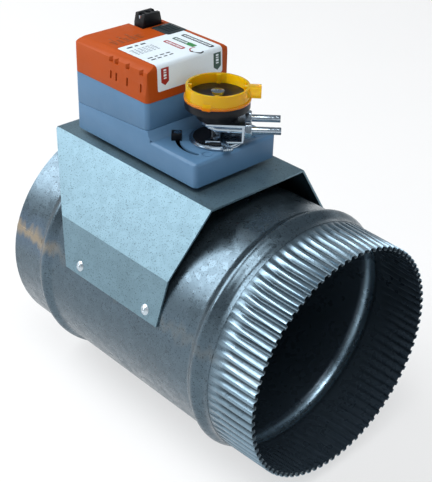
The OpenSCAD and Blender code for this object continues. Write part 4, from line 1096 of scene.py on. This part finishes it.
class DAMPER_OT_stage(Operator):
    """Builds the pale floor, the soft light and the camera"""

    bl_idname = "damper.stage"
    bl_label = "Stage"

    # Distance from the middle and rise of the floor, which curves up into a round backdrop
    FLOOR = [(0.6, 0.0), (1.6, 0.0), (2.0, 0.03), (2.35, 0.14), (2.65, 0.36), (2.85, 0.7), (2.95, 1.1)]
    FLOOR_SIDES = 64
    # How much the camera and reflections see of a plain white floor
    FLOOR_GLOW = 0.6
    # Colour of the light from all sides, and the height above the duct's axis that the lamps aim at
    SKY = (0.86, 0.93, 1.0, 1)
    LAMP_AIM = 0.03
    # Place from the shaft's line, size and colour of each lamp
    LAMPS = {
        "key": ((-1.25, -0.85, 1.35), 1.5, (0.97, 0.985, 1.0)),
        "top": ((0.6, -0.6, 1.8), 1.0, (1.0, 1.0, 1.0)),
        "fill": ((1.5, 0.5, 0.9), 1.0, (0.9, 0.96, 1.0)),
    }
    # Turn, rise and roll of the camera in degrees, and its place
    CAMERA_TURNS = (45.946, 31.057, 1.728)
    CAMERA_PLACE = (0.520676, -0.393185, 0.374672)

    def execute(self, context):
        stage = context.scene.damper_stage
        context.scene.view_settings.view_transform = "Standard"
        self.floor(stage)
        self.surroundings(context, stage)
        for name, (place, size, colour) in self.LAMPS.items():
            self.lamp(name + "_light", getattr(stage, name), place, size, colour)
        self.camera(context, stage)
        return {"FINISHED"}

    def floor(self, stage):
        sheet = bmesh.new()
        sides = self.FLOOR_SIDES
        turns = [2 * math.pi * i / sides for i in range(sides)]
        loops = [[sheet.verts.new((radius * math.cos(a), radius * math.sin(a), rise)) for a in turns]
                 for radius, rise in self.FLOOR]
        sheet.faces.new(loops[0])
        for inner, outer in zip(loops, loops[1:]):
            for i in range(sides):
                j = (i + 1) % sides
                sheet.faces.new([inner[i], outer[i], outer[j], inner[j]])
        mesh = bpy.data.meshes.new("floor")
        sheet.to_mesh(mesh)
        sheet.free()
        mesh.transform(Matrix.Translation((SHAFT_X, 0, stage.floor)))
        for face in mesh.polygons:
            face.use_smooth = True
        mesh.materials.append(self.floor_finish())
        floor = linked("floor", mesh)

    def floor_finish(self):
        """Pale paint that looks lit to the camera, in reflections and through glass, but lights nothing."""
        dark, light = (0.8, 0.81, 0.82), (0.84, 0.84, 0.84)
        floor = Finish("pale_floor", light, {"Roughness": 0.8})
        floor.set("Base Color", floor.tint(floor.noise(9, 3), dark, light))
        rays = floor.add("ShaderNodeLightPath").outputs
        seen = floor.sum("MAXIMUM", rays["Is Camera Ray"], rays["Is Glossy Ray"])
        seen = floor.sum("MAXIMUM", seen, rays["Is Transmission Ray"])
        share = floor.sum("MULTIPLY", seen, self.FLOOR_GLOW)
        glow = floor.add("ShaderNodeEmission", {"Color": (1, 1, 1, 1), "Strength": 1.0}).outputs[0]
        mixed = floor.add("ShaderNodeMixShader", {0: share, 1: floor.shader.outputs[0], 2: glow})
        floor.feed(floor.tree.nodes["Material Output"].inputs["Surface"], mixed.outputs[0])
        return floor.material

    def surroundings(self, context, stage):
        world = bpy.data.worlds.new("soft_sky")
        world.use_nodes = True
        context.scene.world = world
        world.node_tree.nodes.clear()
        wiring = Wiring(world.node_tree)
        light = wiring.add("ShaderNodeBackground", {"Color": self.SKY, "Strength": stage.sky})
        wiring.add("ShaderNodeOutputWorld", {0: light.outputs[0]})

    def lamp(self, name, power, place, size, colour):
        lamp = bpy.data.lights.new(name, "AREA")
        lamp.energy = power
        lamp.size = size
        lamp.color = colour
        light = linked(name, lamp)
        spot = Vector((SHAFT_X, 0, 0)) + Vector(place)
        aim = (Vector((SHAFT_X, 0, self.LAMP_AIM)) - spot).to_track_quat("-Z", "Y")
        light.matrix_world = Matrix.Translation(spot) @ aim.to_matrix().to_4x4()

    def camera(self, context, stage):
        turn, rise, roll = (math.radians(a) for a in self.CAMERA_TURNS)
        facing = Matrix.Rotation(turn, 4, "Z") @ Matrix.Rotation(math.pi / 2 - rise, 4, "X")
        data = bpy.data.cameras.new("camera")
        data.sensor_width = 36
        data.lens = stage.lens
        data.clip_start = 0.02
        camera = linked("camera", data)
        camera.matrix_world = Matrix.Translation(self.CAMERA_PLACE) @ facing @ Matrix.Rotation(roll, 4, "Z")
        context.scene.camera = camera


STEPS = (
    DAMPER_OT_finish_solids,
    DAMPER_OT_bolt_thread,
    DAMPER_OT_rivet_pins,
    DAMPER_OT_cover_label,
    DAMPER_OT_label_marks,
    DAMPER_OT_label_words,
    DAMPER_OT_cover_numbers,
    DAMPER_OT_button_grip,
    DAMPER_OT_plug_entries,
    DAMPER_OT_button_coil,
    DAMPER_OT_board_parts,
    DAMPER_OT_stage,
)


class DAMPER_PT_steps(Panel):
    """Lists the steps and the values that they use"""

    bl_idname = "DAMPER_PT_steps"
    bl_label = "Duct Damper"
    bl_space_type = "VIEW_3D"
    bl_region_type = "UI"
    bl_category = "Damper"

    def draw(self, context):
        for step in STEPS:
            self.layout.operator(step.bl_idname)
        for name, kind in GROUPS.items():
            box = self.layout.box()
            for label in kind.__annotations__:
                box.prop(getattr(context.scene, name), label)


GROUPS = {"damper_colours": DamperColours, "damper_sizes": DamperSizes, "damper_stage": DamperStage}
CLASSES = (*GROUPS.values(), *STEPS, DAMPER_PT_steps)


def register():
    for item in CLASSES:
        bpy.utils.register_class(item)
    for name, kind in GROUPS.items():
        setattr(bpy.types.Scene, name, PointerProperty(type=kind))


def unregister():
    for name in GROUPS:
        delattr(bpy.types.Scene, name)
    for item in reversed(CLASSES):
        bpy.utils.unregister_class(item)


def main():
    register()
    for step in STEPS:
        getattr(bpy.ops.damper, step.bl_idname.removeprefix("damper."))()


if __name__ == "__main__":
    main()
